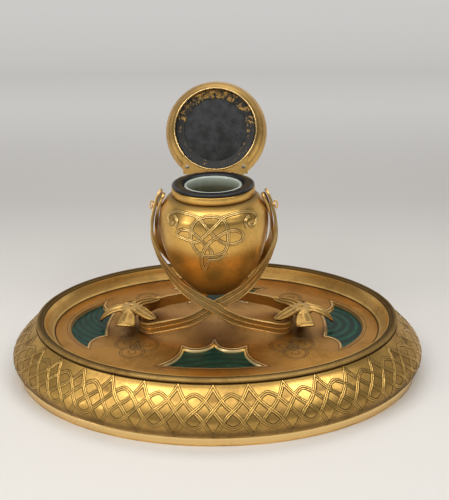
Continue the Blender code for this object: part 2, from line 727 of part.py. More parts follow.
def lid_leaf_outline(half):
    """The wide lid leaf in plan, with a notch over each collar barrel."""
    edge = LID_LEAF_WIDTH / 2
    notch_near = half
    notch_far = half + SEAT_GAP + COLLAR_KNUCKLE_LENGTH + SEAT_GAP
    notch_y = HINGE_Y - KNUCKLE_RADIUS - SEAT_GAP
    right = [
        (edge, HINGE_Y), (notch_far, HINGE_Y), (notch_far, notch_y), (notch_near, notch_y),
        (notch_near, HINGE_Y),
    ]
    left = [(-x, y) for x, y in reversed(right)]
    return [(-edge, 0), (edge, 0)] + right + left


def build_lid_leaf(empty):
    half = LID_KNUCKLE_LENGTH / 2
    start = (-half, HINGE_Y, HINGE_Z)
    leaf = rod("lid_hinge_leaf", start, (half, HINGE_Y, HINGE_Z), KNUCKLE_RADIUS, BARREL_SIDES, "gilt")
    plate = prism("lid_leaf_plate", lid_leaf_outline(half), HINGE_Z, HINGE_Z + LID_LEAF_THICKNESS, "gilt")
    low = (0, 0, HINGE_Z - CUT_OVERRUN)
    high = (0, 0, HINGE_Z + LID_LEAF_THICKNESS + CUT_OVERRUN)
    lip = rod("lid_lip_cut", low, high, LID_LIP_RADIUS + SEAT_GAP, LIP_CUT_SIDES, "gilt")
    bore = hinge_bore("lid_hinge_bore")
    cut(plate, lip)
    cut(leaf, plate, "UNION")
    cut(leaf, bore)
    for piece in (leaf, plate, lip, bore):
        hang_on(empty, piece)


def build_collar_leaf():
    half = LID_KNUCKLE_LENGTH / 2
    reach = half + SEAT_GAP + COLLAR_KNUCKLE_LENGTH
    top = HINGE_Z - SEAT_GAP
    low = top - LEAF_PLATE_THICKNESS
    plate_end = HINGE_Y - KNUCKLE_RADIUS - SEAT_GAP
    leaf = box("collar_hinge_leaf", (-reach, 0, low), (reach, plate_end, top), "gilt")
    cut_low = (0, 0, COLLAR_BASE - CUT_OVERRUN)
    cut(leaf, rod("collar_cut", cut_low, (0, 0, RING_TOP), COLLAR_RADIUS + SEAT_GAP, LIP_CUT_SIDES, "gilt"))
    for side, word in ((-1, "left"), (1, "right")):
        start = side * (half + SEAT_GAP)
        end = side * reach
        arm_low = (min(start, end), plate_end - SEAT_GAP, low)
        arm = box("arm_" + word, arm_low, (max(start, end), HINGE_Y, top), "gilt")
        axis_start = (start, HINGE_Y, HINGE_Z)
        axis_end = (end, HINGE_Y, HINGE_Z)
        barrel = rod("barrel_" + word, axis_start, axis_end, KNUCKLE_RADIUS, BARREL_SIDES, "gilt")
        cut(leaf, arm, "UNION")
        cut(leaf, barrel, "UNION")
    cut(leaf, hinge_bore("collar_hinge_bore"))
    pin_start = (-reach, HINGE_Y, HINGE_Z)
    rod("hinge_pin", pin_start, (reach, HINGE_Y, HINGE_Z), HINGE_PIN_RADIUS, ROUND_SIDES, "steel")


def ribbon_path():
    """Centre line of a front ribbon, from the left pin across to the right foot."""
    points = []
    for spread, depth, rise in UPPER_SHARES:
        height = CROSSING_Z + rise * (PIN_Z - CROSSING_Z)
        points.append((-spread * STRAP_SPREAD, -depth * CROSSING_Y, height))
    for reach, depth, rise in LOWER_SHARES:
        points.append((reach * TURN_X, -depth * LEG_Y, FOOT_Z + rise * (CROSSING_Z - FOOT_Z)))
    return smooth_path(points, RIBBON_STEPS)


def ribbon_loops(pin_side, crossing_side):
    """Sections of a ribbon. Each side is +1 where it runs on the outer layer of a lap, -1 on the inner."""
    path = ribbon_path()
    half_width = BAND_WIDTH / 2
    half_thickness = BAND_THICKNESS / 2
    outline = [
        (-half_width, -half_thickness + BAND_EDGE), (-half_width + BAND_EDGE, -half_thickness),
        (half_width - BAND_EDGE, -half_thickness), (half_width, -half_thickness + BAND_EDGE),
        (half_width, half_thickness - BAND_EDGE), (half_width - BAND_EDGE, half_thickness),
        (-half_width + BAND_EDGE, half_thickness), (-half_width, half_thickness - BAND_EDGE),
    ]
    front = Vector((0, -math.cos(CROSSING_LEAN), math.sin(CROSSING_LEAN)))
    loops = []
    for index, place in enumerate(path):
        before = path[max(index - 1, 0)]
        after = path[min(index + 1, len(path) - 1)]
        tangent = (after - before).normalized()
        share = index / (len(path) - 1)
        turn = lerp_table(TWIST_SHARES, share) * math.pi / 2
        leaning = Vector((-math.cos(turn), 0, 0)) + front * math.sin(turn)
        upright = tangent.cross(Vector((0, 0, 1))).normalized()
        outward = leaning.lerp(upright, lerp_table(UPRIGHT_SHARES, share))
        normal = (outward - tangent * outward.dot(tangent)).normalized()
        across = tangent.cross(normal)
        lap = pin_side * lerp_table(PIN_LAP_SHARES, share)
        lap += crossing_side * lerp_table(CROSSING_LAP_SHARES, share)
        centre = place + normal * (lap * LAP / 2)
        loops.append([centre + across * u + normal * v for u, v in outline])
    return loops


def build_ribbons():
    reach = STRAP_SPREAD + LAP + CUT_OVERRUN
    for side, side_word in ((1, "left"), (-1, "right")):
        for way, way_word in ((1, "front"), (-1, "back")):
            loops = ribbon_loops(way, side)
            placed = [[Vector((side * p.x, way * p.y, p.z)) for p in loop] for loop in loops]
            name = "{}_{}".format(way_word, side_word)
            ribbon = sweep("ribbon_" + name, placed, "gilt")
            start = (-side * reach, 0, PIN_Z)
            end = (-side * STRAP_SPREAD / 2, 0, PIN_Z)
            cut(ribbon, rod("eyelet_" + name, start, end, PIN_RADIUS + BORE_GAP, ROUND_SIDES, "gilt"))


def strap_face():
    """How far out the outer strap's face stands at the pin."""
    spread = lerp_table([(-rise, share) for share, depth, rise in UPPER_SHARES], -1.0) * STRAP_SPREAD
    return spread + (LAP / 2 + BAND_THICKNESS / 2) / math.cos(EYE_TILT)


def build_eye_pins():
    wall = pot_radius_at(PIN_Z)
    wire = EYE_WIRE / 2
    half = EYE_HEIGHT / 2 - wire
    reach = EYE_REACH / 2 - wire
    for side, word in ((-1, "left"), (1, "right")):
        centre = Vector((side * (strap_face() + SEAT_GAP + EYE_REACH / 2), 0, PIN_Z))
        tilt = Matrix.Rotation(-side * EYE_TILT, 3, "Y")
        verts = []
        for step in range(EYE_STEPS):
            turn = 2 * math.pi * step / EYE_STEPS
            place = Vector((math.cos(turn) * reach, 0, math.sin(turn) * half))
            normal = Vector((math.cos(turn) * half, 0, math.sin(turn) * reach)).normalized()
            for corner in range(ROUND_SIDES):
                angle = 2 * math.pi * corner / ROUND_SIDES
                offset = normal * math.cos(angle) + Vector((0, 1, 0)) * math.sin(angle)
                verts.append(centre + tilt @ (place + offset * wire))
        faces = []
        for step in range(EYE_STEPS):
            low = step * ROUND_SIDES
            high = (step + 1) % EYE_STEPS * ROUND_SIDES
            for corner in range(ROUND_SIDES):
                after = (corner + 1) % ROUND_SIDES
                faces.append((low + corner, low + after, high + after, high + corner))
        eye = add_piece("eye_pin_" + word, verts, faces, "gilt")
        root = centre - Vector((side * reach, 0, 0))
        tip = (side * (wall - PIN_BITE), 0, PIN_Z)
        cut(eye, rod("eye_shank_" + word, root, tip, PIN_RADIUS, ROUND_SIDES, "gilt"), "UNION")


def petal(name, spine, widths):
    """A leaf lobe: a thin cambered strip along a spine."""
    path = smooth_path(spine, PETAL_STEPS)
    thick = PETAL_THICKNESS / 2
    loops = []
    for index, place in enumerate(path):
        before = path[max(index - 1, 0)]
        after = path[min(index + 1, len(path) - 1)]
        tangent = (after - before).normalized()
        across = tangent.cross(Vector((0, 0, 1))).normalized()
        normal = across.cross(tangent)
        half = lerp_table(widths, index / (len(path) - 1)) * PETAL_WIDTH / 2
        loop = []
        for share, level in PETAL_SECTION_SHARES:
            sag = half * PETAL_CAMBER_SHARE * (1 - share * share)
            loop.append(place + across * share * half + normal * (level * thick + sag))
        loops.append(loop)
    return sweep(name, loops, "gilt")


def petal_spine(centre, out, sideways, shares):
    return [centre + Vector((x * out, y * sideways, -droop * LEAF_DROOP)) for x, y, droop in shares]


def build_leaves():
    for side, word in ((-1, "left"), (1, "right")):
        x = side * LEAF_X
        hub = [(share * LEAF_HUB_RADIUS, LEAF_BASE + up * LEAF_HUB_HEIGHT) for share, up in HUB_SHARES]
        leaf = revolve("leaf_" + word, hub, HUB_SIDES, "gilt")
        leaf.location = (x, 0, 0)
        centre = Vector((x, 0, LEAF_BASE + PETAL_LEVEL_SHARE * LEAF_HUB_HEIGHT))
        tip = petal_spine(centre, side * LEAF_REACH, 0, TIP_SPINE_SHARES)
        cut(leaf, petal("tip_" + word, tip, TIP_WIDTH_SHARES), "UNION")
        for way, end in ((-1, "front"), (1, "back")):
            lobe = petal_spine(centre, side * LEAF_REACH, way * LEAF_SIDE_REACH, LOBE_SPINE_SHARES)
            cut(leaf, petal("lobe_{}_{}".format(word, end), lobe, LOBE_WIDTH_SHARES), "UNION")
            arm = petal_spine(centre, -side * LEAF_ARM_X, way * LEAF_ARM_Y, ARM_SPINE_SHARES)
            cut(leaf, petal("arm_{}_{}".format(word, end), arm, ARM_WIDTH_SHARES), "UNION")
        bore_top = LEAF_BASE + LEAF_HUB_HEIGHT * STUD_BITE_SHARE
        bore = rod("leaf_bore_" + word, (x, 0, LEAF_BASE - CUT_OVERRUN), (x, 0, bore_top + SEAT_GAP),
                   STUD_RADIUS + BORE_GAP, ROUND_SIDES, "gilt")
        cut(leaf, bore)
        bottom = BED_TOP - BED_THICKNESS - STUD_TAIL
        rod("stud_" + word, (x, 0, bottom), (x, 0, bore_top), STUD_RADIUS, ROUND_SIDES, "brass")


def screw_places():
    half_length = RIM_LENGTH / 2 - SCREW_INSET
    half_depth = RIM_DEPTH / 2 - SCREW_INSET
    places = []
    for quarter, word in enumerate(("back_right", "back_left", "front_left", "front_right")):
        turn = quarter * math.pi / 2 + (SCREW_TURN if quarter % 2 == 0 else math.pi / 2 - SCREW_TURN)
        places.append((word, half_length * math.cos(turn), half_depth * math.sin(turn)))
    return places


def build_screws():
    head_top = BED_TOP - BED_THICKNESS - SEAT_GAP
    for word, x, y in screw_places():
        head = rod("screw_" + word, (x, y, head_top - SCREW_HEAD_HEIGHT), (x, y, head_top),
                   SCREW_HEAD_RADIUS, ROUND_SIDES, "steel")
        shank = rod("screw_shank_" + word, (x, y, head_top - SCREW_HEAD_HEIGHT / 2),
                    (x, y, head_top + SCREW_LENGTH), SCREW_RADIUS, ROUND_SIDES, "steel")
        cut(head, shank, "UNION")


def build_nuts():
    top = BED_TOP - BED_THICKNESS - SEAT_GAP
    for side, word in ((-1, "left"), (1, "right")):
        x = side * LEAF_X
        nut = rod("nut_" + word, (x, 0, top - NUT_THICKNESS), (x, 0, top), NUT_RADIUS, NUT_SIDES, "brass")
        bore = rod("nut_bore_" + word, (x, 0, top - NUT_THICKNESS - CUT_OVERRUN), (x, 0, top + CUT_OVERRUN),
                   STUD_RADIUS + BORE_GAP, ROUND_SIDES, "brass")
        cut(nut, bore)


def main():
    clear_scene()
    build_foot_border()
    build_tray(build_tray_rim())
    build_pot()
    build_collar_and_ring()
    build_cup()
    empty = hinge_empty()
    build_lid(empty)
    build_lid_leaf(empty)
    build_collar_leaf()
    build_ribbons()
    build_eye_pins()
    build_leaves()
    build_nuts()
    build_screws()


main()
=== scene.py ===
"""Looks of the oval gilt bronze inkstand with malachite panels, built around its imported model."""

import bisect
import math

import bmesh
import bpy
from mathutils import Matrix, Vector, geometry


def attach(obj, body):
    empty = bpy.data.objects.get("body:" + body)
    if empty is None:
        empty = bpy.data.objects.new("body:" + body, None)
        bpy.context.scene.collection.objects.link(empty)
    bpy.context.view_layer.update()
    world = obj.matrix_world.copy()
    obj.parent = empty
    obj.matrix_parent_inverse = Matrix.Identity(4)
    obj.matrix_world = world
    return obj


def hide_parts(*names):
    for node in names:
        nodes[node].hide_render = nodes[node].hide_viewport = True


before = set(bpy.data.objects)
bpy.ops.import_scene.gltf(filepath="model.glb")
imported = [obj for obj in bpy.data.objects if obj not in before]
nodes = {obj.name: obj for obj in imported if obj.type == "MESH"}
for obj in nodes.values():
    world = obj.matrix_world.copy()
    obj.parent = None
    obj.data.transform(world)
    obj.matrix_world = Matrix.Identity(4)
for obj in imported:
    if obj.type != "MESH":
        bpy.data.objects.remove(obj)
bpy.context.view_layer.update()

# Camera, fitted to the oval rims, the pot and the ring
VIEW_TURN = math.radians(2.4)
VIEW_RISE = math.radians(21.88)
VIEW_ROLL = math.radians(-1.0)
VIEW_REACH = 0.560
VIEW_TARGET = Vector((0.0069, 0.0, 0.0873))
LENS = 58.04
SENSOR = 36.0

# Foot border: half length and half depth of its foot and rim, and rows of its skirt, each with its share of
# the inward run from foot to rim and its height
FOOT = (0.1427, 0.1060)
RIM = (0.1284, 0.0945)
BORDER_HEIGHT = 0.0365
SKIRT_ROWS = [
    (1.0, 0.0365), (0.839, 0.0340), (0.517, 0.0300), (0.224, 0.0260), (-0.028, 0.0220), (-0.203, 0.0180),
    (-0.266, 0.0140), (-0.196, 0.0100), (-0.085, 0.0075),
]
# Plinth and foot: share of the run, inset and height
PLINTH_ROWS = [
    (-0.030, 0.0, 0.0069), (0.0, 0.0, 0.0064), (0.0, 0.00002, 0.0058), (0.0, 0.00002, 0.0006),
    (0.0, 0.0001, 0.0), (0.0, 0.0050, 0.0),
]
BORDER_WALL = 0.0032
# Polished fillet around the plinth: inset from the foot's edge, and height
FILLET_ROWS = [
    (0.0001, 0.0009), (-0.0001, 0.0012), (-0.0001, 0.0056), (0.0001, 0.0060), (0.0006, 0.0062),
    (0.0008, 0.0058), (0.0008, 0.0012),
]
OVAL_SEGMENTS = 240
SKIRT_SEGMENTS = 528

# Steps to each span of a free curve
CURVE_STEPS = 24


def tidy_start():
    """Back to object mode with nothing selected."""
    if bpy.context.object and bpy.context.object.mode != "OBJECT":
        bpy.ops.object.mode_set(mode="OBJECT")
    bpy.ops.object.select_all(action="DESELECT")


def pick(*pieces):
    """Select these pieces alone, the first of them active."""
    tidy_start()
    for piece in pieces:
        piece.select_set(True)
    bpy.context.view_layer.objects.active = pieces[0]


def new_object(name, data):
    item = bpy.data.objects.new(name, data)
    bpy.context.scene.collection.objects.link(item)
    return item


def spline(points, steps):
    """Points on a smooth curve through the given ones, steps to each span."""
    points = [Vector(point) for point in points]
    ring = [points[0] * 2 - points[1]] + points + [points[-1] * 2 - points[-2]]
    fine = []
    for index in range(1, len(ring) - 2):
        a, b, c, d = ring[index - 1:index + 3]
        for step in range(steps):
            t = step / steps
            fine.append(0.5 * ((2 * b) + (c - a) * t + (2 * a - 5 * b + 4 * c - d) * t ** 2
                               + (3 * b - a - 3 * c + d) * t ** 3))
    fine.append(points[-1])
    return fine


def lengths_along(points):
    """The length of the way up to each point."""
    along = [0.0]
    for before, after in zip(points, points[1:]):
        along.append(along[-1] + (after - before).length)
    return along


def read_table(table, value):
    """Read a table of (place, amount) rows, straight between them. An amount is a number or a point."""
    high = bisect.bisect_left(table, value, key=lambda row: row[0])
    if high == 0 or high == len(table):
        return table[max(high - 1, 0)][1]
    low_place, low_amount = table[high - 1]
    high_place, high_amount = table[high]
    return low_amount + (high_amount - low_amount) * ((value - low_place) / (high_place - low_place))


def even_path(points, steps):
    """The smooth curve through the points, in even steps."""
    fine = spline(points, CURVE_STEPS)
    table = list(zip(lengths_along(fine), fine))
    return [read_table(table, table[-1][0] * step / steps) for step in range(steps + 1)]


def mirrored(half):
    """A whole section from its left half, given from outside to the middle."""
    return half + [(-row[0], *row[1:]) for row in reversed(half) if row[0] < 0]


def finish_piece(piece, name, material, body="stand", node=None, angle=60):
    """Name, smooth and dress a piece, and set it on its body."""
    pick(piece)
    piece.name = name
    piece.data.name = name
    bpy.ops.object.shade_smooth_by_angle(angle=math.radians(angle))
    piece.data.materials.clear()
    piece.data.materials.append(material)
    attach(piece, body)
    if node:
        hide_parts(node)


def draw_out(rows, segments, close="bridge"):
    """Draw a ring out, row by row, into an oval turning. Rows are (half length, half depth, height)."""
    tidy_start()
    bpy.ops.mesh.primitive_circle_add(vertices=segments, radius=1.0)
    piece = bpy.context.object
    bpy.ops.object.mode_set(mode="EDIT")
    bpy.ops.mesh.select_all(action="SELECT")
    first = rows[0]
    bpy.ops.transform.resize(value=(first[0], first[1], 1.0), center_override=(0, 0, 0))
    bpy.ops.transform.translate(value=(0, 0, first[2]))
    for before, after in zip(rows, rows[1:]):
        bpy.ops.mesh.extrude_edges_move(
            TRANSFORM_OT_translate={"value": (0, 0, after[2] - before[2])})
        bpy.ops.transform.resize(value=(after[0] / before[0], after[1] / before[1], 1.0),
                                 center_override=(0, 0, 0))
    bpy.ops.mesh.select_all(action="DESELECT")
    bpy.ops.mesh.select_mode(type="EDGE")
    bpy.ops.mesh.select_non_manifold()
    if close == "bridge":
        bpy.ops.mesh.bridge_edge_loops()
    else:
        bpy.ops.mesh.fill_holes(sides=0)
    bpy.ops.mesh.select_all(action="SELECT")
    bpy.ops.mesh.normals_make_consistent(inside=False)
    bpy.ops.object.mode_set(mode="OBJECT")
    return piece


def turned(profile, segments, close="bridge"):
    return draw_out([(radius, radius, height) for radius, height in profile], segments, close)


def loft(loops, path_closed, dark=None):
    """A body from a row of equal closed sections, closed at both ends or on itself.

    Dark gives each section's darkness, point by point: one row for all, or a row for each.
    """
    mesh = bpy.data.meshes.new("loft")
    work = bmesh.new()
    shade = work.verts.layers.float.new("dark") if dark else None
    rings = []
    for number, loop in enumerate(loops):
        ring = []
        for index, point in enumerate(loop):
            vert = work.verts.new(point)
            if dark:
                vert[shade] = dark[index] if isinstance(dark[0], float) else dark[number][index]
            ring.append(vert)
        rings.append(ring)
    size = len(loops[0])
    pairs = len(rings) if path_closed else len(rings) - 1
    for row in range(pairs):
        low = rings[row]
        high = rings[(row + 1) % len(rings)]
        for step in range(size):
            after = (step + 1) % size
            work.faces.new((low[step], low[after], high[after], high[step]))
    if not path_closed:
        work.faces.new(list(reversed(rings[0])))
        work.faces.new(rings[-1])
    bmesh.ops.recalc_face_normals(work, faces=work.faces)
    work.to_mesh(mesh)
    work.free()
    return new_object("loft", mesh)


def shade_verts(piece, darkness):
    """Give each vertex its darkness, from a function of the vertex."""
    layer = piece.data.attributes.new("dark", "FLOAT", "POINT")
    for vert in piece.data.vertices:
        layer.data[vert.index].value = max(0.0, darkness(vert))


def join_pieces(pieces):
    pick(*pieces)
    bpy.ops.object.join()
    return bpy.context.object


def twin(piece, turn):
    """A copy of a piece, with its mesh turned or mirrored."""
    copy = piece.copy()
    copy.data = piece.data.copy()
    bpy.context.scene.collection.objects.link(copy)
    copy.data.transform(turn)
    if turn.is_negative:
        copy.data.flip_normals()
    return copy


def reshape(piece, kind, **settings):
    """Put a modifier on a piece and apply it."""
    pick(piece)
    change = piece.modifiers.new("change", kind)
    for key, value in settings.items():
        setattr(change, key, value)
    bpy.ops.object.modifier_apply(modifier=change.name)


# Materials


def new_tree(name):
    mat = bpy.data.materials.new(name)
    mat.use_nodes = True
    return mat, mat.node_tree, mat.node_tree.nodes["Principled BSDF"]


def fill(tree, item, values):
    """Set the inputs of a node, each to a value or to the output of another node."""
    for key, value in values.items():
        if isinstance(value, bpy.types.NodeSocket):
            tree.links.new(value, item.inputs[key])
        else:
            item.inputs[key].default_value = value


def add(tree, kind, values=None, **settings):
    """A new node with its settings and its inputs."""
    item = tree.nodes.new(kind)
    for key, value in settings.items():
        setattr(item, key, value)
    fill(tree, item, values or {})
    return item


def object_place(tree):
    return add(tree, "ShaderNodeTexCoord").outputs["Object"]


def noise(tree, place, scale, detail, roughness=0.5, distortion=0.0):
    return add(tree, "ShaderNodeTexNoise", {"Vector": place, "Scale": scale, "Detail": detail,
                                            "Roughness": roughness, "Distortion": distortion}).outputs["Fac"]


def calc(tree, operation, *inputs, clamp=False):
    """The result of a sum."""
    return add(tree, "ShaderNodeMath", dict(enumerate(inputs)), operation=operation,
               use_clamp=clamp).outputs[0]


def span(tree, value, low, high, to_low=0.0, to_high=1.0, kind="LINEAR"):
    """A value brought from one range to another."""
    return add(tree, "ShaderNodeMapRange", {"Value": value, "From Min": low, "From Max": high,
                                            "To Min": to_low,
                                            "To Max": to_high}, interpolation_type=kind).outputs["Result"]


def blend(tree, share, first, second):
    return add(tree, "ShaderNodeMix", {"Factor": share, "A": first, "B": second},
               data_type="RGBA").outputs["Result"]


def relief(tree, height, strength, distance):
    return add(tree, "ShaderNodeBump", {"Height": height, "Strength": strength,
                                        "Distance": distance}).outputs["Normal"]


def ramp(tree, share, stops):
    item = add(tree, "ShaderNodeValToRGB", {"Fac": share})
    while len(item.color_ramp.elements) < len(stops):
        item.color_ramp.elements.new(0.5)
    for element, (place, colour) in zip(item.color_ramp.elements, stops):
        element.position = place
        element.color = (*colour, 1.0)
    return item.outputs["Color"]


def patina_and_shade_group():
    """Worn gilding with painted shade: colour, roughness and height from three grains and the piece's edges;
    hollows and the mesh's dark values, which hold patina and painted shade, pull the colour dark.
    """
    group = bpy.data.node_groups.new("Worn gilding and painted shade", "ShaderNodeTree")
    for way, kind, names in (("INPUT", "Color", ("Bright", "Dull", "Dark")),
                             ("INPUT", "Float", ("Dullness", "ShadeAndPatina", "Polish", "Stipple")),
                             ("OUTPUT", "Color", ("Colour",)), ("OUTPUT", "Float", ("Roughness", "Height"))):
        for name in names:
            group.interface.new_socket(name=name, in_out=way, socket_type="NodeSocket" + kind)
    given = group.nodes.new("NodeGroupInput").outputs
    place = object_place(group)
    cloud = noise(group, place, 38.0, 5.0, 0.6)
    grain = noise(group, place, 420.0, 4.0, 0.65)
    dots = add(group, "ShaderNodeTexVoronoi", {"Vector": place, "Scale": 1500.0}).outputs["Distance"]
    spots = calc(group, "MULTIPLY", span(group, cloud, 0.42, 0.68), given["Dullness"])
    spread = calc(group, "ADD", spots, span(group, grain, 0.35, 0.75, -0.22, 0.22), clamp=True)
    pointed = add(group, "ShaderNodeNewGeometry").outputs["Pointiness"]
    # Patina and painted shade: hollow places and the mesh's dark values
    shade_and_patina = calc(group, "MAXIMUM", span(group, pointed, 0.500, 0.455), given["ShadeAndPatina"])
    base = blend(group, spread, given["Bright"], given["Dull"])
    rough = calc(group, "MULTIPLY_ADD", spread, 0.22, given["Polish"])
    stipple = calc(group, "MULTIPLY", dots, given["Stipple"])
    add(group, "NodeGroupOutput", {
        "Colour": blend(group, shade_and_patina, base, given["Dark"]),
        "Roughness": calc(group, "MULTIPLY_ADD", shade_and_patina, 0.35, rough),
        "Height": calc(group, "MULTIPLY_ADD", grain, 0.25, stipple),
    })
    return group


PATINA_AND_SHADE = patina_and_shade_group()


def gilt(name, bright, dull, dark, dullness, polish, stipple, bump=0.12):
    """A gilt bronze finish, dark where the mesh has its own dark values, which hold patina and painted shade.
    """
    mat, tree, shader = new_tree(name)
    hollow = add(tree, "ShaderNodeAttribute", attribute_name="dark").outputs["Fac"]
    wear_and_shade = add(tree, "ShaderNodeGroup", node_tree=PATINA_AND_SHADE)
    fill(tree, wear_and_shade, {"Bright": (*bright, 1), "Dull": (*dull, 1), "Dark": (*dark, 1), "Dullness": dullness,
                      "Polish": polish, "Stipple": stipple, "ShadeAndPatina": hollow})
    fill(tree, shader, {"Metallic": 1.0, "Base Color": wear_and_shade.outputs["Colour"],
                        "Roughness": wear_and_shade.outputs["Roughness"],
                        "Normal": relief(tree, wear_and_shade.outputs["Height"], bump, 0.0003)})
    return mat


def plain(name, colour, roughness, metallic=0.0, speckle=0.15, scale=300.0, bump=0.05):
    """A plain finish with a faint mottle and grain."""
    mat, tree, shader = new_tree(name)
    grain = noise(tree, object_place(tree), scale, 5.0, 0.6)
    low = tuple(c * (1 - speckle) for c in colour)
    high = tuple(min(1.0, c * (1 + speckle)) for c in colour)
    fill(tree, shader, {"Base Color": ramp(tree, grain, [(0.35, low), (0.65, high)]), "Metallic": metallic,
                        "Roughness": span(tree, grain, 0.0, 1.0, roughness * 0.8, roughness * 1.2),
                        "Normal": relief(tree, grain, bump, 0.0002)})
    return mat


def malachite(name, centre, stretch, scale, wander, cloudy):
    """Polished malachite: wavering rings of two greens around a centre, with dark seams."""
    mat, tree, shader = new_tree(name)
    place = add(tree, "ShaderNodeMapping", {"Vector": object_place(tree), "Location": centre,
                                            "Scale": stretch},
                vector_type="TEXTURE").outputs["Vector"]
    rings = add(tree, "ShaderNodeTexWave", {"Vector": place, "Scale": scale, "Distortion": wander,
                                            "Detail": 4.0,
                                            "Detail Scale": 0.7, "Detail Roughness": 0.6},
                wave_type="RINGS", rings_direction="Z").outputs["Fac"]
    cloud = noise(tree, place, 110.0, 6.0, 0.65, 1.5)
    both = add(tree, "ShaderNodeMix", {"Factor": cloudy, "A": rings, "B": cloud}, data_type="FLOAT")
    green = ramp(tree, both.outputs["Result"], [
        (0.25, (0.0010, 0.0150, 0.0090)), (0.48, (0.0022, 0.030, 0.018)), (0.60, (0.0040, 0.044, 0.026)),
        (0.78, (0.0100, 0.080, 0.045)),
    ])
    fill(tree, shader, {"Base Color": green, "Roughness": 0.34, "Specular IOR Level": 0.18,
                        "Coat Weight": 0.05,
                        "Coat Roughness": 0.2})
    return mat


def flecked():
    """Blackened metal with worn flecks of gilding, more of them high up."""
    mat, tree, shader = new_tree("blackened_gilt")
    place = object_place(tree)
    cloud = noise(tree, place, 330.0, 7.0, 0.75, 0.4)
    up = add(tree, "ShaderNodeSeparateXYZ", {"Vector": place}).outputs["Z"]
    total = calc(tree, "ADD", cloud, span(tree, up, 0.135, 0.190, -0.02, 0.13))
    fleck = span(tree, total, 0.60, 0.66)
    colour = ramp(tree, fleck, [(0.0, (0.012, 0.013, 0.013)), (1.0, (0.62, 0.37, 0.10))])
    fill(tree, shader, {"Base Color": colour, "Metallic": fleck,
                        "Roughness": span(tree, fleck, 0.0, 1.0, 0.55, 0.34),
                        "Normal": relief(tree, fleck, 0.3, 0.0002)})
    return mat


def milky_glass():
    """Pale glass with painted shade: darker and browner down towards the cup's floor."""
    mat, tree, shader = new_tree("milky_glass")
    place = object_place(tree)
    up = add(tree, "ShaderNodeSeparateXYZ", {"Vector": place}).outputs["Z"]
    # Painted shade inside the cup, deepening towards its floor
    depth = span(tree, up, 0.1215, 0.1352)
    colour = ramp(tree, calc(tree, "MULTIPLY_ADD", noise(tree, place, 120.0, 3.0), 0.12, depth), [
        (0.10, (0.030, 0.028, 0.014)), (0.55, (0.12, 0.12, 0.075)), (0.85, (0.33, 0.37, 0.30)),
        (1.0, (0.52, 0.58, 0.51)),
    ])
    fill(tree, shader, {"Base Color": colour, "Roughness": 0.12, "Coat Weight": 0.5})
    return mat


GOLD = (0.82, 0.50, 0.135)
# Dark colour for patina in lines and hollows, and for painted shade
GRIME_AND_SHADE = (0.050, 0.029, 0.011)

MAT_SKIRT = gilt("gilt_skirt", GOLD, (0.44, 0.255, 0.075), (0.13, 0.080, 0.030), 0.85, 0.30, 0.45)
MAT_STRAND = gilt("gilt_strand", (0.82, 0.51, 0.145), (0.52, 0.31, 0.09), GRIME_AND_SHADE, 0.50, 0.25, 0.2)
MAT_RIM = gilt("gilt_rim", (0.94, 0.60, 0.19), (0.52, 0.31, 0.09), (0.10, 0.060, 0.022), 0.8, 0.33, 0.1)
MAT_PLATE = gilt("gilt_plate", (0.50, 0.245, 0.050), (0.28, 0.137, 0.028), GRIME_AND_SHADE, 0.9, 0.29, 1.0, bump=0.35)
MAT_POT = gilt("gilt_pot", GOLD, (0.46, 0.28, 0.085), (0.080, 0.060, 0.030), 0.5, 0.30, 0.25)
MAT_KNOT = gilt("gilt_knot", (0.93, 0.64, 0.24), (0.66, 0.40, 0.12), GRIME_AND_SHADE, 0.5, 0.26, 0.1)
MAT_RIBBON = gilt("gilt_ribbon", (0.97, 0.65, 0.24), (0.54, 0.33, 0.105), (0.14, 0.082, 0.030), 0.7, 0.27,
                  0.1)
MAT_LEAF = gilt("gilt_leaf", (0.95, 0.60, 0.19), (0.50, 0.295, 0.080), (0.085, 0.050, 0.020), 0.8, 0.29,
                0.1)
MAT_LID = gilt("gilt_lid", (0.76, 0.47, 0.14), (0.42, 0.245, 0.075), GRIME_AND_SHADE, 0.8, 0.28, 0.15)
MAT_LIP = gilt("gilt_lip", (0.90, 0.64, 0.28), (0.80, 0.52, 0.18), GRIME_AND_SHADE, 0.3, 0.20, 0.0)
MAT_EDGE = gilt("gilt_cut_edge", (0.97, 0.78, 0.42), (0.90, 0.66, 0.30), (0.20, 0.115, 0.035), 0.3, 0.40,
                0.0, bump=0.03)
MAT_FINE_LINE = gilt("fine_line", (0.075, 0.044, 0.017), (0.055, 0.032, 0.012), GRIME_AND_SHADE, 0.8, 0.45, 0.0)
MAT_BROWN_LINE = gilt("dark_line", (0.17, 0.105, 0.042), (0.12, 0.072, 0.028), GRIME_AND_SHADE, 0.8, 0.40, 0.0)
MAT_BRASS = gilt("old_brass", (0.45, 0.31, 0.13), (0.26, 0.18, 0.08), GRIME_AND_SHADE, 0.9, 0.40, 0.0)
MAT_BLACK = plain("black_glass", (0.006, 0.006, 0.008), 0.34, bump=0.0)
MAT_LINING = plain("charcoal_lining", (0.034, 0.037, 0.038), 0.85, speckle=0.55, scale=160.0, bump=0.5)
MAT_STEEL = plain("dull_steel", (0.32, 0.28, 0.22), 0.38, metallic=1.0)
MAT_SOOT = flecked()
MAT_CUP = milky_glass()


# Foot border

SKIRT_PROFILE = spline([(share, height, 0) for share, height in SKIRT_ROWS], 7)
SKIRT_RUN = lengths_along([Vector((row.x * (FOOT[0] - RIM[0]), row.y)) for row in SKIRT_PROFILE])
# The profile by how far down it is, 0 at the crease and 1 at the plinth, and how far down each height is
SKIRT_DOWN = [(run / SKIRT_RUN[-1], row) for run, row in zip(SKIRT_RUN, SKIRT_PROFILE)]
HEIGHT_DOWN = sorted((row.y, down) for down, row in SKIRT_DOWN)

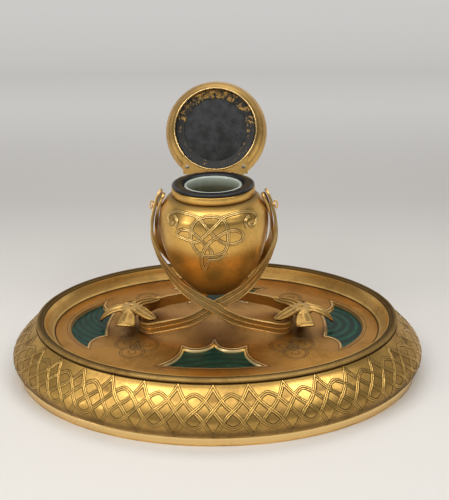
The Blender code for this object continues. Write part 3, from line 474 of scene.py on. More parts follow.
# Interlace around the skirt: two endless strands, one pointed and one round, that go round twice
BAYS = 33
BAY_PHASE = 0.138
STRAND_STEPS = 18
STRAND_EDGES = {"pointed": (0.045, 0.955), "round": (0.185, 0.790)}
MITRE_LIMIT = 0.5
# Across the strand: offset, height over the ground, and how dark it is
STRAND_SECTION = mirrored([
    (-0.00146, -0.0005, 1.0), (-0.00146, 0.00004, 1.0), (-0.00110, 0.00004, 1.0), (-0.00101, 0.00015, 0.15),
    (-0.00056, 0.00020, 0.0), (-0.00022, 0.00016, 0.1), (-0.00013, 0.00006, 1.0),
])
# Lift where a strand goes over, and where it goes under
STRAND_LIFTS = (0.00010, -0.00003)
CROSSING_REACH = 0.09


def oval_at(share, inset=0.0):
    return (FOOT[0] + (RIM[0] - FOOT[0]) * share - inset, FOOT[1] + (RIM[1] - FOOT[1]) * share - inset)


def on_oval(half_axes, turn):
    return Vector((half_axes[0] * math.cos(turn), half_axes[1] * math.sin(turn)))


def skirt_ground(turn, down):
    """A point of the skirt's surface."""
    row = read_table(SKIRT_DOWN, down)
    return Vector((*on_oval(oval_at(row.x), turn), row.y))


def skirt_normal(turn, down):
    small = 0.002
    along = skirt_ground(turn + small, down) - skirt_ground(turn - small, down)
    fall = skirt_ground(turn, down + 5 * small) - skirt_ground(turn, down - 5 * small)
    return fall.cross(along).normalized()


def way_round(steps=2880):
    """The share of the way round the oval at even turns."""
    turns = [2 * math.pi * step / steps for step in range(steps + 1)]
    along = lengths_along([on_oval(oval_at(-0.1), turn) for turn in turns])
    return [(turn, length / along[-1]) for turn, length in zip(turns, along)]


TURN_SHARE = way_round()
SHARE_TURN = [(share, turn) for turn, share in TURN_SHARE]


def foot_shade(down):
    """Painted shade: the skirt darkens towards the fillet."""
    return 0.75 * min(1.0, max(0.0, down - 0.66) / 0.25)


def strand_down(kind, place):
    """How far down a strand runs, at a place counted in bays from its top turn."""
    run = min(place % 2.0, 2.0 - place % 2.0)
    if kind == "pointed":
        share = run + 0.055 * math.sin(2 * math.pi * run)
    else:
        share = 0.80 * (0.5 - 0.5 * math.cos(math.pi * run)) + 0.20 * run
    low, high = STRAND_EDGES[kind]
    return low + (high - low) * share


def crossing_lift(distance, over, lifts):
    """Lift of a band near a crossing. Distance is a share of the crossing's reach."""
    near = max(0.0, 1 - distance)
    return near * near * (3 - 2 * near) * lifts[0 if over else 1]


def strand_lift(place):
    """Over and under: the strand's lift where it meets the others."""
    cycle = place % 2.0
    run = min(cycle, 2.0 - cycle)
    return sum(crossing_lift(abs(run - crossing) / CROSSING_REACH, (index % 2 == 0) == (cycle <= 1.0),
                             STRAND_LIFTS)
               for index, crossing in enumerate((0.25, 0.5, 0.75)))


def band_loop(section, here, across, normal, lift=0.0):
    """A band's section set on its path, with its face lifted."""
    return [here + across * u + normal * (v + (lift if v > 0 else 0)) for u, v, dark in section]


def darks_of(section):
    return [dark for u, v, dark in section]


def skirt_matting_and_shade(vert):
    """How dark the skirt's ground is: matted cells between the strands, and painted shade towards the foot,
    in the crease under the rim and at the ends.
    """
    place = vert.co
    if place.z < HEIGHT_DOWN[0][0]:
        return 0.0
    down = read_table(HEIGHT_DOWN, place.z)
    half_length, half_depth = oval_at(read_table(SKIRT_DOWN, down).x)
    turn = math.atan2(place.y / half_depth, place.x / half_length) % (2 * math.pi)
    off = abs((read_table(TURN_SHARE, turn) * BAYS + BAY_PHASE + 0.5) % 1.0 - 0.5)
    pointed = strand_down("pointed", off)
    dark = 0.0
    if pointed < down < strand_down("round", 0.5 - off):
        dark = 0.42 * min(1.0, (down - pointed) * max(0.0, 0.34 - down) / 0.0070)
    # Painted shade towards the foot, in the crease under the rim, and at the ends
    dark = max(dark, foot_shade(down), 0.9 - down / 0.012)
    return min(1.0, dark + 0.35 * min(1.0, max(0.0, abs(place.x) - 0.095) / 0.04))


def build_skirt():
    rows = [(*oval_at(row.x), row.y) for row in SKIRT_PROFILE]
    rows += [(*oval_at(share, inset), height) for share, inset, height in PLINTH_ROWS]
    shelf = BORDER_HEIGHT - 0.0030
    rows += [(*oval_at(share, BORDER_WALL), min(height, shelf))
             for share, height in reversed(SKIRT_ROWS[1:-1])]
    rows += [(*oval_at(1.0, 0.0051), shelf), (*oval_at(1.0, 0.0051), BORDER_HEIGHT)]
    piece = draw_out(rows, SKIRT_SEGMENTS)
    shade_verts(piece, skirt_matting_and_shade)
    finish_piece(piece, "foot_border_skirt", MAT_SKIRT, node="foot_border", angle=50)
    rows = [(*oval_at(0.0, inset), height) for inset, height in FILLET_ROWS]
    finish_piece(draw_out(rows, OVAL_SEGMENTS), "foot_border_fillet", MAT_LIP, angle=50)


def build_interlace():
    """The strands, plaited over and under."""
    count = BAYS * STRAND_STEPS
    turns = [read_table(SHARE_TURN, (step / STRAND_STEPS - BAY_PHASE) / BAYS % 1.0) for step in range(count)]
    strands = []
    for kind, shift in (("pointed", 0.0), ("round", 0.5)):
        places = [step / STRAND_STEPS - shift for step in range(2 * count)]
        downs = [strand_down(kind, place) for place in places]
        path = [skirt_ground(turns[step % count], down) for step, down in enumerate(downs)]
        loops = []
        darks = []
        for step, (place, down, here) in enumerate(zip(places, downs, path)):
            normal = skirt_normal(turns[step % count], down)
            run_in = (here - path[step - 1]).normalized()
            run_out = (path[(step + 1) % len(path)] - here).normalized()
            way = (run_in + run_out).normalized()
            across = normal.cross(way).normalized() / max(MITRE_LIMIT, run_in.dot(way))
            loops.append(band_loop(STRAND_SECTION, here, across, normal, strand_lift(place)))
            # Painted shade towards the foot, as on the skirt
            darks.append([max(dark, foot_shade(down)) for dark in darks_of(STRAND_SECTION)])
        strands.append(loft(loops, True, darks))
    finish_piece(join_pieces(strands), "foot_border_interlace", MAT_STRAND)


# Rim, plate and windows

PLATE_TOP = 0.0304
PLATE_THICKNESS = 0.0020
RIM_WIDTH = 0.0129
PLATE_STEPS = 180
RIM_ROWS = [
    (0.0010, 0.0369), (0.0003, 0.0376), (0.0, 0.0384), (0.0004, 0.0393), (0.0014, 0.0400),
    (0.0026, 0.0403), (0.0038, 0.0401), (0.0046, 0.0393), (0.0050, 0.0386), (0.0055, 0.0383),
    (0.0060, 0.0386), (0.0063, 0.0387), (0.0069, 0.0378), (0.0078, 0.0357), (0.0090, 0.0337),
    (0.0104, 0.0320), (0.0118, 0.0310), (0.0124, 0.0309), (0.0129, 0.0305), (0.0129, 0.0262),
    (0.0092, 0.0262), (0.0054, 0.0310), (0.0054, 0.0369),
]
# How dark each row is: painted shade over the bead, in the groove and where the rim meets the plate
RIM_PAINTED_SHADE = {0: 0.9, 1: 0.7, 2: 0.55, 3: 0.55, 4: 0.75, 5: 0.95, 6: 1.0, 7: 0.8, 8: 1.0, 9: 1.0, 10: 0.5,
            11: 0.1,
            16: 0.4, 17: 0.9, 18: 1.0, 19: 1.0}


def build_rim():
    rows = [(RIM[0] - inset, RIM[1] - inset, height) for inset, height in RIM_ROWS]
    piece = draw_out(rows, OVAL_SEGMENTS)
    # Painted shade, row by row
    shade_verts(piece, lambda vert: RIM_PAINTED_SHADE.get(vert.index // OVAL_SEGMENTS, 0.0))
    finish_piece(piece, "tray_rim_moulding", MAT_RIM, node="tray_rim", angle=35)


# The panel's oval, and the windows' corners and notches in it
PANEL = (0.1050, 0.0635)
END_CORNER = 0.822
END_NOTCH = (0.733 * PANEL[0], 0.291 * PANEL[1])
SIDE_CORNER = 0.326
SIDE_NOTCH = (0.204 * PANEL[0], 0.551 * PANEL[1])
SIDE_CUSP = 0.403 * PANEL[1]
OVAL_SIDE_STEPS = 30


def arc(start, end, bulge, steps=14):
    """A round arc from start towards end, bulging to the left of its way."""
    start = Vector(start)
    end = Vector(end)
    chord = end - start
    side = Vector((-chord.y, chord.x))
    half_turn = 2 * math.atan(2 * bulge)
    centre = (start + end) / 2 - side / (2 * math.tan(half_turn))
    points = []
    for step in range(steps):
        turn = Matrix.Rotation(-2 * half_turn * step / steps, 2)
        points.append(centre + turn @ (start - centre))
    return points


def window(start, stop, notches, bulges):
    """Plan of a window: a stretch of the panel's oval, closed by lobes between the notches."""
    points = []
    for step in range(OVAL_SIDE_STEPS):
        points.append(on_oval(PANEL, start + (stop - start) * step / OVAL_SIDE_STEPS))
    corners = [on_oval(PANEL, stop)] + notches + [on_oval(PANEL, start)]
    for first, second, bulge in zip(corners, corners[1:], bulges):
        points += arc(first, second, bulge)
    return points


def windows():
    corner = math.acos(END_CORNER)
    x, y = END_NOTCH
    end = window(-corner, corner, [(x, y), (x, -y)], (0.21, 0.054, 0.21))
    corner = math.acos(SIDE_CORNER)
    x, y = SIDE_NOTCH
    side = window(corner, math.pi - corner, [(-x, y), (0.0, SIDE_CUSP), (x, y)], (0.148, 0.34, 0.34, 0.148))
    return [end, [-point for point in end], side, [-point for point in side]]


def upright(points, low, high):
    """An upright body on a plan outline, raised by extruding its face."""
    mesh = bpy.data.meshes.new("upright")
    mesh.from_pydata([(p[0], p[1], low) for p in points], [], [tuple(range(len(points)))])
    piece = new_object("upright", mesh)
    pick(piece)
    bpy.ops.object.mode_set(mode="EDIT")
    bpy.ops.mesh.select_all(action="SELECT")
    bpy.ops.mesh.extrude_region_move(TRANSFORM_OT_translate={"value": (0, 0, high - low)})
    bpy.ops.mesh.select_all(action="SELECT")
    bpy.ops.mesh.normals_make_consistent(inside=False)
    bpy.ops.object.mode_set(mode="OBJECT")
    return piece


def cut_with(piece, cutter):
    """Cut one body out of another."""
    reshape(piece, "BOOLEAN", operation="DIFFERENCE", solver="EXACT", object=cutter)
    bpy.data.objects.remove(cutter, do_unlink=True)


def build_plate():
    half_axes = (RIM[0] - RIM_WIDTH - 0.0003, RIM[1] - RIM_WIDTH - 0.0003)
    outline = [on_oval(half_axes, 2 * math.pi * step / PLATE_STEPS) for step in range(PLATE_STEPS)]
    piece = upright(outline, PLATE_TOP - PLATE_THICKNESS, PLATE_TOP)
    for plan in windows():
        cut_with(piece, upright(plan, PLATE_TOP - 0.004, PLATE_TOP + 0.002))
    reshape(piece, "BEVEL", width=0.0005, segments=3, limit_method="ANGLE")
    finish_piece(piece, "tray_plate_pierced", MAT_PLATE, node="tray_plate", angle=40)


def outline_loops(outline, section, top):
    """Sections along a closed plan outline. Section rows are (out of the outline, height over the top)."""
    loops = []
    for index, here in enumerate(outline):
        before = outline[index - 1]
        after = outline[(index + 1) % len(outline)]
        run_in = (here - before).normalized()
        run_out = (after - here).normalized()
        normal = Vector((run_in.y + run_out.y, -run_in.x - run_out.x)).normalized()
        reach = 1 / max(0.55, normal.dot(Vector((run_in.y, -run_in.x))))
        loop = []
        for u, v in section:
            place = here + normal * u * reach
            loop.append(Vector((place.x, place.y, top + v)))
        loops.append(loop)
    return loops


EDGE_SECTION = [
    (-0.0008, -0.0024), (-0.0008, -0.0021), (-0.0002, -0.0011), (0.0003, -0.0003), (0.0006, 0.00010),
    (0.0010, 0.00012), (0.0012, -0.0002), (0.0012, -0.0024),
]
LINE_SECTION = [(-0.00016, -0.0001), (-0.00016, 0.00005), (0.0, 0.00009), (0.00016, 0.00005),
                (0.00016, -0.0001)]
LINE_SETBACK = 0.0023
# Painted shade on the cut faces along the windows' oval sides
OVAL_SIDE_PAINTED_SHADE = 0.8


def set_back(outline, setback):
    """The outline drawn outwards, without the points that fall too near another part of it."""
    kept = []
    for loop in outline_loops(outline, [(setback, 0.0)], 0.0):
        point = loop[0].xy
        nearest = min((point - other).length for other in outline)
        if nearest > setback * 0.97:
            kept.append(point)
    return kept


def build_window_edges():
    """A bright bevelled face around each window, with painted shade along its oval side, and a fine line set
    back from it.
    """
    beads = []
    for plan in windows():
        darks = [[OVAL_SIDE_PAINTED_SHADE if index < OVAL_SIDE_STEPS else 0.0] * len(EDGE_SECTION)
                 for index in range(len(plan))]
        beads.append(loft(outline_loops(plan, EDGE_SECTION, PLATE_TOP), True, darks))
    finish_piece(join_pieces(beads), "window_cut_edges", MAT_EDGE)
    lines = [loft(outline_loops(set_back(plan, LINE_SETBACK), LINE_SECTION, PLATE_TOP), True)
             for plan in windows()]
    finish_piece(join_pieces(lines), "window_border_lines", MAT_FINE_LINE)


# Middle of each engraved ring on the plate, and its radius
ROUNDELS = [
    (0.0465, 0.0332, 0.0086), (0.0600, 0.0307, 0.0086), (0.0550, 0.0427, 0.0086), (0.0537, 0.0353, 0.0040),
]
ROUNDEL_LINES = (1.0, 0.82, 0.30)


def build_roundels():
    """Low engraved ring ornament on the four lobes of the plate."""
    rings = []
    for x, y, radius in ROUNDELS:
        for share in ROUNDEL_LINES:
            tidy_start()
            bpy.ops.mesh.primitive_torus_add(major_segments=48, minor_segments=8, major_radius=radius * share,
                                             minor_radius=0.00030)
            bpy.ops.object.mode_set(mode="EDIT")
            bpy.ops.mesh.select_all(action="SELECT")
            bpy.ops.transform.resize(value=(1, 1, 0.4), center_override=(0, 0, 0))
            bpy.ops.transform.translate(value=(x, y, PLATE_TOP))
            bpy.ops.object.mode_set(mode="OBJECT")
            rings.append(bpy.context.object)
    first = join_pieces(rings)
    copies = [twin(first, Matrix.Diagonal((across, back, 1, 1)))
              for across, back in ((-1, 1), (1, -1), (-1, -1))]
    finish_piece(join_pieces([first] + copies), "plate_roundels", MAT_BROWN_LINE)


# Pot, collar, ring, cup

POT_BOTTOM = 0.0576
POT_HEIGHT = 0.0710
POT_RADIUS = 0.0373
POT_ROWS = [
    (0.12, -0.001), (0.23, 0.0), (0.35, 0.017), (0.455, 0.065), (0.555, 0.120), (0.690, 0.204),
    (0.796, 0.289), (0.866, 0.373), (0.92, 0.458), (0.968, 0.556), (0.995, 0.669), (1.0, 0.76),
    (0.978, 0.85), (0.944, 0.894), (0.906, 0.930), (0.853, 0.965), (0.79, 0.990), (0.745, 1.0),
]
TURN_SEGMENTS = 128
COLLAR_RADIUS = 0.0282
COLLAR_BASE = 0.1289
COLLAR_TOP = 0.1341
RING_TOP = 0.1361
RING_HOLE = 0.0192


def pot_painted_shade(vert):
    """Painted shade: the pot is darker and browner low down and in the groove under its neck."""
    up = (vert.co.z - POT_BOTTOM) / POT_HEIGHT
    return max(0.85 * (0.46 - up) / 0.46, 0.8 * (up - 0.955) / 0.045)


POT_SKIN = [(row.y, row.x)
            for row in spline([(share * POT_RADIUS, up * POT_HEIGHT, 0) for share, up in POT_ROWS], 8)]


def pot_point(across, up):
    """A point of the pot's skin, so far round from the front and so far up from its foot."""
    turn = across / POT_RADIUS
    radius = read_table(POT_SKIN, up)
    return Vector((radius * math.sin(turn), -radius * math.cos(turn), POT_BOTTOM + up))


def pot_normal(across, up):
    small = 0.0008
    sideways = pot_point(across + small, up) - pot_point(across - small, up)
    upward = pot_point(across, up + small) - pot_point(across, up - small)
    return sideways.cross(upward).normalized()


# Knot and swags on the pot, in millimetres across from the front and up from the foot; True is a closed path
MM = 0.001
KNOT_STEP = 0.0006
KNOT_PATHS = [
    (True, [(0.7, 66.2), (-6.4, 65.4), (-10.9, 62.8), (-13.0, 58.5), (-13.5, 53.4), (-12.7, 48.3),
            (-10.5, 43.7), (-6.5, 40.5), (-1.1, 39.7), (4.3, 40.7), (8.9, 43.2), (10.7, 48.1),
            (11.1, 54.3), (10.3, 60.9), (7.7, 64.7)]),
    (False, [(-27.6, 60.6), (-29.6, 58.4), (-32.6, 58.8), (-34.5, 61.8), (-33.4, 64.4), (-29.7, 66.3),
             (-24.2, 67.0), (-16.5, 66.8), (-10.9, 65.9), (-6.1, 63.0), (-1.9, 58.5), (2.5, 53.6),
             (7.3, 49.7), (13.6, 47.6), (19.7, 48.7), (21.7, 51.4), (20.1, 54.9), (15.2, 57.0),
             (10.1, 56.5), (5.7, 54.5), (1.5, 51.9), (-2.1, 48.6), (-4.8, 44.0), (-6.6, 39.0),
             (-7.0, 33.4), (-5.9, 28.6), (-3.5, 32.7), (-1.8, 36.7), (2.2, 36.9), (7.0, 38.8),
             (10.0, 42.0)]),
    (False, [(26.6, 60.4), (27.9, 57.6), (31.5, 57.9), (34.9, 61.4), (33.7, 64.4), (29.2, 66.3), (22.7, 66.9),
             (15.4, 66.6), (10.4, 65.8), (6.9, 64.1), (2.7, 60.5), (-2.0, 56.3), (-5.9, 52.6), (-10.1, 49.5),
             (-15.0, 50.3), (-20.7, 51.2), (-24.6, 52.4), (-21.8, 56.0), (-16.0, 57.1), (-10.9, 54.9),
             (-6.6, 51.2), (-3.2, 47.2), (-0.3, 43.6), (0.2, 40.4)]),
    (False, [(-29.0, 63.6), (-26.2, 62.9), (-24.6, 60.2), (-26.0, 56.8)]),
    (False, [(28.6, 63.4), (25.8, 62.8), (24.0, 60.3), (25.2, 56.8)]),
]
# Across the band: offset, height over the skin, and how dark it is
KNOT_SECTION = mirrored([
    (-0.00132, -0.0005, 1.0), (-0.00132, 0.00004, 1.0), (-0.00100, 0.00005, 1.0), (-0.00090, 0.00032, 0.0),
    (-0.00055, 0.00042, 0.0), (-0.00022, 0.00032, 0.0), (-0.00008, 0.00010, 1.0),
])
KNOT_LIFTS = (0.00022, -0.00010)
KNOT_REACH = 0.0026


def crossing_steps(paths):
    """For each path, the steps at which it crosses another band, and whether it goes over there."""
    pieces = [(number, step, path[step], path[step + 1])
              for number, path in enumerate(paths) for step in range(len(path) - 1)]
    meets = [[] for path in paths]
    count = 0
    for first, (number, step, a, b) in enumerate(pieces):
        for other, other_step, c, d in pieces[first + 4:]:
            if abs(a.x - c.x) > 0.0015 or abs(a.y - c.y) > 0.0015:
                continue
            if geometry.intersect_line_line_2d(a.xy, b.xy, c.xy, d.xy):
                meets[number].append((step, count))
                meets[other].append((other_step, count))
                count += 1
    taken = {}
    lifts = []
    for path_meets in meets:
        over = False
        row = []
        for step, meeting in sorted(path_meets):
            over = not taken[meeting] if meeting in taken else not over
            taken.setdefault(meeting, over)
            row.append((step, over))
        lifts.append(row)
    return lifts


def knot_path(closed, points):
    """The path of a band, in even steps."""
    rows = [(across * MM, up * MM, 0.0) for across, up in points]
    if closed:
        fine = spline(rows[-2:] + rows + rows[:3], CURVE_STEPS)[2 * CURVE_STEPS:-2 * CURVE_STEPS]
    else:
        fine = spline(rows, CURVE_STEPS)
    return even_path(fine[::8], int(lengths_along(fine)[-1] / KNOT_STEP))


def build_knot():
    """Interlaced knot with swags in low relief, before and behind."""
    paths = [knot_path(closed, points) for closed, points in KNOT_PATHS]
    bands = []
    for (closed, points), path, crossings in zip(KNOT_PATHS, paths, crossing_steps(paths)):
        if closed:
            path = path[:-1]
        loops = []
        for step, place in enumerate(path):
            before = path[step - 1] if closed or step else place
            after = path[(step + 1) % len(path)] if closed or step < len(path) - 1 else place
            normal = pot_normal(place.x, place.y)
            way = (pot_point(after.x, after.y) - pot_point(before.x, before.y)).normalized()
            lift = sum(crossing_lift(abs(step - at) * KNOT_STEP / KNOT_REACH, over, KNOT_LIFTS)
                       for at, over in crossings)
            loops.append(band_loop(KNOT_SECTION, pot_point(place.x, place.y), normal.cross(way), normal,
                                   lift))
        bands.append(loft(loops, closed, darks_of(KNOT_SECTION)))
    front = join_pieces(bands)
    back = twin(front, Matrix.Rotation(math.pi, 4, "Z"))
    finish_piece(join_pieces([front, back]), "pot_body_knot", MAT_KNOT)


def build_pot():
    rows = spline([(share * POT_RADIUS, POT_BOTTOM + up * POT_HEIGHT, 0) for share, up in POT_ROWS], 5)
    outer = [(0.0006, POT_BOTTOM)] + [(row.x, max(row.y, POT_BOTTOM)) for row in rows]
    mouth = COLLAR_RADIUS - 0.0025
    inner = [(mouth, POT_BOTTOM + POT_HEIGHT), (mouth, POT_BOTTOM + POT_HEIGHT - 0.004)]
    for share, up in reversed(POT_ROWS[2:14]):
        inner.append((share * POT_RADIUS - 0.002, POT_BOTTOM + up * POT_HEIGHT + 0.0015))
    inner.append((0.0006, POT_BOTTOM + 0.003))
    piece = turned(outer + inner, TURN_SEGMENTS, "fill")
    shade_verts(piece, pot_painted_shade)
    finish_piece(piece, "pot_body_vase", MAT_POT, node="pot_body", angle=45)


def build_collar():
    inner = COLLAR_RADIUS - 0.0028
    rows = [
        (inner, COLLAR_BASE - 0.003), (inner, COLLAR_BASE), (COLLAR_RADIUS - 0.0004, COLLAR_BASE),
        (COLLAR_RADIUS, COLLAR_BASE + 0.0004), (COLLAR_RADIUS, COLLAR_TOP - 0.0006),
        (COLLAR_RADIUS - 0.0002, COLLAR_TOP - 0.0002), (COLLAR_RADIUS - 0.0006, COLLAR_TOP),
        (inner - 0.0018, COLLAR_TOP), (inner - 0.0018, COLLAR_BASE - 0.003),
    ]
    finish_piece(turned(rows, TURN_SEGMENTS), "pot_collar_band", MAT_POT, node="pot_collar", angle=50)


def build_ring():
    outer = COLLAR_RADIUS - 0.0003
    base = COLLAR_TOP + 0.0003
    rows = [
        (outer - 0.0010, base), (outer - 0.0003, base + 0.0002), (outer, base + 0.0008),
        (outer - 0.0002, RING_TOP - 0.0005), (outer - 0.0008, RING_TOP - 0.0001), (outer - 0.0016, RING_TOP),
        (RING_HOLE + 0.0026, RING_TOP - 0.0001), (RING_HOLE + 0.0014, RING_TOP - 0.0006),
        (RING_HOLE + 0.0008, RING_TOP - 0.0014), (RING_HOLE + 0.0006, base - 0.002),
        (outer - 0.006, base - 0.002), (outer - 0.006, base),
    ]
    finish_piece(turned(rows, TURN_SEGMENTS), "liner_ring_black", MAT_BLACK, node="liner_ring")


def build_cup():
    top = RING_TOP - 0.0008
    outer = RING_HOLE + 0.0003
    inner = outer - 0.0020
    floor = RING_TOP - 0.048
    rows = [
        (0.0006, floor), (outer - 0.006, floor), (outer - 0.002, floor + 0.0018),
        (outer - 0.0004, floor + 0.006),
        (outer - 0.0003, top - 0.002), (outer, top - 0.0008), (outer - 0.0002, top - 0.0002),
        (outer - 0.0010, top), (inner + 0.0003, top - 0.0004), (inner, top - 0.0012), (inner, floor + 0.008),
        (inner - 0.0015, floor + 0.0040), (inner - 0.006, floor + 0.0022), (0.0006, floor + 0.0018),
    ]
    finish_piece(turned(rows, TURN_SEGMENTS, "fill"), "glass_liner_cup", MAT_CUP,
                 node="glass_liner")


# Lid, modelled shut and turned open on its hinge

OPEN_ANGLE = math.radians(113.0)
HINGE = Vector((0.0, 0.0322, 0.1328))
LID_BASE = 0.1328
LID_RADIUS = 0.0368
LIP_RADIUS = 0.0296
LID_HEIGHT = 0.0363
LINING_DEPTH = 0.0042
LINING_RADIUS = 0.0228
LEAF_SCREW = (0.0200, 0.0272)


def open_lid(piece):
    """Turn a shut piece of the lid open about the hinge, in its mesh."""
    turn = Matrix.Translation(HINGE) @ Matrix.Rotation(-OPEN_ANGLE, 4, "X") @ Matrix.Translation(-HINGE)
    piece.data.transform(turn)
    return piece


def lid_painted_shade(vert):
    """Painted shade on the shut lid, beside its lip and in the turned line around its shoulder."""
    radius = vert.co.xy.length
    up = vert.co.z - LID_BASE
    if up < 0.0005 or up > 0.45 * LID_HEIGHT:
        return 0.0
    return max(0.75 * (1 - (radius - LIP_RADIUS) / 0.0022), 0.6 * (1 - abs(radius - 0.0338) / 0.0006))


def build_lid():
    run = LID_RADIUS - LIP_RADIUS
    points = [(LIP_RADIUS, 0.0004), (LIP_RADIUS, 0.0024)]
    for share, up in ((0.22, 0.105), (0.62, 0.200), (0.90, 0.310)):
        points.append((LIP_RADIUS + share * run, up * LID_HEIGHT))
    for share, up in ((1.0, 0.400), (0.978, 0.535), (0.902, 0.690), (0.777, 0.815), (0.609, 0.905),
                      (0.408, 0.964), (0.204, 0.991), (0.02, 1.0)):
        points.append((share * LID_RADIUS, up * LID_HEIGHT))
    outer = [(row.x, LID_BASE + row.y) for row in spline([(r, z, 0) for r, z in points], 5)]
    lip = LIP_RADIUS - 0.0009
    ceiling = LID_BASE + LINING_DEPTH
    inner = [
        (0.02 * LID_RADIUS, LID_BASE + LID_HEIGHT - 0.002), (0.5 * LID_RADIUS, LID_BASE + 0.90 * LID_HEIGHT),
        (0.88 * LID_RADIUS, LID_BASE + 0.64 * LID_HEIGHT), (0.94 * LID_RADIUS, LID_BASE + 0.42 * LID_HEIGHT),
        (0.90 * LID_RADIUS, ceiling + 0.0019), (LINING_RADIUS, ceiling + 0.0018), (LINING_RADIUS, ceiling),
        (LINING_RADIUS + 0.0006, ceiling - 0.0002), (lip - 0.0012, ceiling), (lip, ceiling - 0.0010),
        (lip, LID_BASE + 0.0004), (lip + 0.0003, LID_BASE), (LIP_RADIUS - 0.0003, LID_BASE),
    ]
    piece = turned(list(reversed(outer)) + list(reversed(inner)), TURN_SEGMENTS, "bridge")
    shade_verts(piece, lid_painted_shade)
    open_lid(piece)
    finish_piece(piece, "lid_shell_dome", MAT_LID, body="lid", node="lid_shell", angle=40)
    soot = [
        (LINING_RADIUS - 0.0003, ceiling - 0.0002), (LINING_RADIUS + 0.0008, ceiling - 0.0005),
        (lip - 0.0014, ceiling - 0.0002), (lip - 0.0003, ceiling - 0.0014), (lip - 0.0001, LID_BASE + 0.0010),
        (lip + 0.0002, LID_BASE + 0.0010), (lip + 0.0002, ceiling + 0.0002),
        (LINING_RADIUS - 0.0003, ceiling + 0.0002),
    ]
    finish_piece(open_lid(turned(soot, TURN_SEGMENTS)), "lid_inner_annulus", MAT_SOOT, body="lid")
    band = [
        (lip - 0.0001, LID_BASE + 0.0011), (lip - 0.0001, LID_BASE + 0.0003),
        (lip + 0.0002, LID_BASE - 0.0001),
        (LIP_RADIUS - 0.0002, LID_BASE - 0.0001), (LIP_RADIUS + 0.0001, LID_BASE + 0.0003),
        (LIP_RADIUS + 0.0001, LID_BASE + 0.0011),
    ]
    finish_piece(open_lid(turned(band, TURN_SEGMENTS)), "lid_lip_band", MAT_LIP, body="lid")
    screws = []
    for side in (-1, 1):
        head = turned([(0.0002, LID_BASE - 0.00035), (0.0009, LID_BASE - 0.0003), (0.0014, LID_BASE - 0.0001),
                       (0.0015, LID_BASE + 0.0002), (0.0015, LID_BASE + 0.0008), (0.0002, LID_BASE + 0.0008)],
                      24, "fill")
        slot = upright([(-0.0017, -0.00025), (0.0017, -0.00025), (0.0017, 0.00025), (-0.0017, 0.00025)],
                       LID_BASE - 0.001, LID_BASE - 0.0001)
        slot.data.transform(Matrix.Rotation(side * 0.6, 4, "Z"))
        cut_with(head, slot)
        head.data.transform(Matrix.Translation((side * LEAF_SCREW[0], LEAF_SCREW[1], 0)))
        screws.append(open_lid(head))
    finish_piece(join_pieces(screws), "lid_leaf_screws", MAT_STEEL, body="lid", angle=40)
    rows = [
        (0.0006, ceiling + 0.0002), (LINING_RADIUS - 0.001, ceiling + 0.0001),
        (LINING_RADIUS - 0.0002, ceiling + 0.0004),
        (LINING_RADIUS - 0.0002, ceiling + 0.0014), (0.0006, ceiling + 0.0014),
    ]
    lining = open_lid(turned(rows, TURN_SEGMENTS, "fill"))
    finish_piece(lining, "lid_lining_disc", MAT_LINING, body="lid", node="lid_lining", angle=50)


# Ribbons

BAND_WIDTH = 0.0084
LAP = 0.0026
STRAP_SPREAD = 0.0373 + 0.0015 + 0.0020 + 0.00015
PIN_Z = POT_BOTTOM + 0.890 * POT_HEIGHT
CROSSING_Z = POT_BOTTOM - 0.0048
CROSSING_Y = 0.0192
CROSSING_LEAN = math.radians(14.9)
FOOT_Z = PLATE_TOP + 0.0003 + BAND_WIDTH / 2
LEG_Y = 0.0213
TURN_X = 0.0543
UPPER = [
    (0.832, -0.145, 1.140), (0.898, -0.073, 1.066), (0.938, 0.0, 0.990), (0.984, 0.10, 0.887),
    (1.0, 0.207, 0.782), (0.993, 0.341, 0.648), (0.927, 0.469, 0.514), (0.820, 0.581, 0.402),
    (0.671, 0.740, 0.284), (0.488, 0.865, 0.176), (0.250, 0.925, 0.080), (0.0, 1.0, 0.0),
]
LOWER = [
    (0.157, 0.965, 0.693), (0.331, 0.995, 0.453), (0.534, 1.0, 0.296), (0.700, 1.0, 0.190),
    (0.829, 0.939, 0.085), (0.930, 0.742, 0.017), (0.987, 0.423, 0.0), (1.0, 0.012, 0.0),
]
TWIST = [
    (0.0, 0.0), (0.13, 0.03), (0.20, 0.16), (0.31, 0.26), (0.37, 0.40), (0.43, 0.62), (0.49, 0.92),
    (0.53, 1.0), (1.0, 1.0),
]
UPRIGHT = [(0.60, 0.0), (0.75, 1.0)]
PIN_LAP = [(0.17, 1.0), (0.25, 0.0)]
CROSSING_LAP = [(0.475, 0.0), (0.53, 1.0), (0.62, 1.0), (0.68, 0.0)]
RIBBON_STEPS = 130
# Across the reeded band: share of the half width, height over the middle, and how dark it is
REED_SECTION = mirrored([
    (-0.93, -0.0009, 0.4), (-1.0, -0.0006, 0.5), (-1.0, 0.0006, 0.1), (-0.96, 0.00088, 0.0),
    (-0.89, 0.00100, 0.0), (-0.80, 0.00096, 0.0), (-0.73, 0.00062, 0.9), (-0.66, 0.00056, 0.55),
    (-0.22, 0.00060, 0.45), (-0.15, 0.00062, 0.9), (-0.10, 0.00090, 0.0), (0.0, 0.00098, 0.0),
])
REED_WIDTH = 0.0079


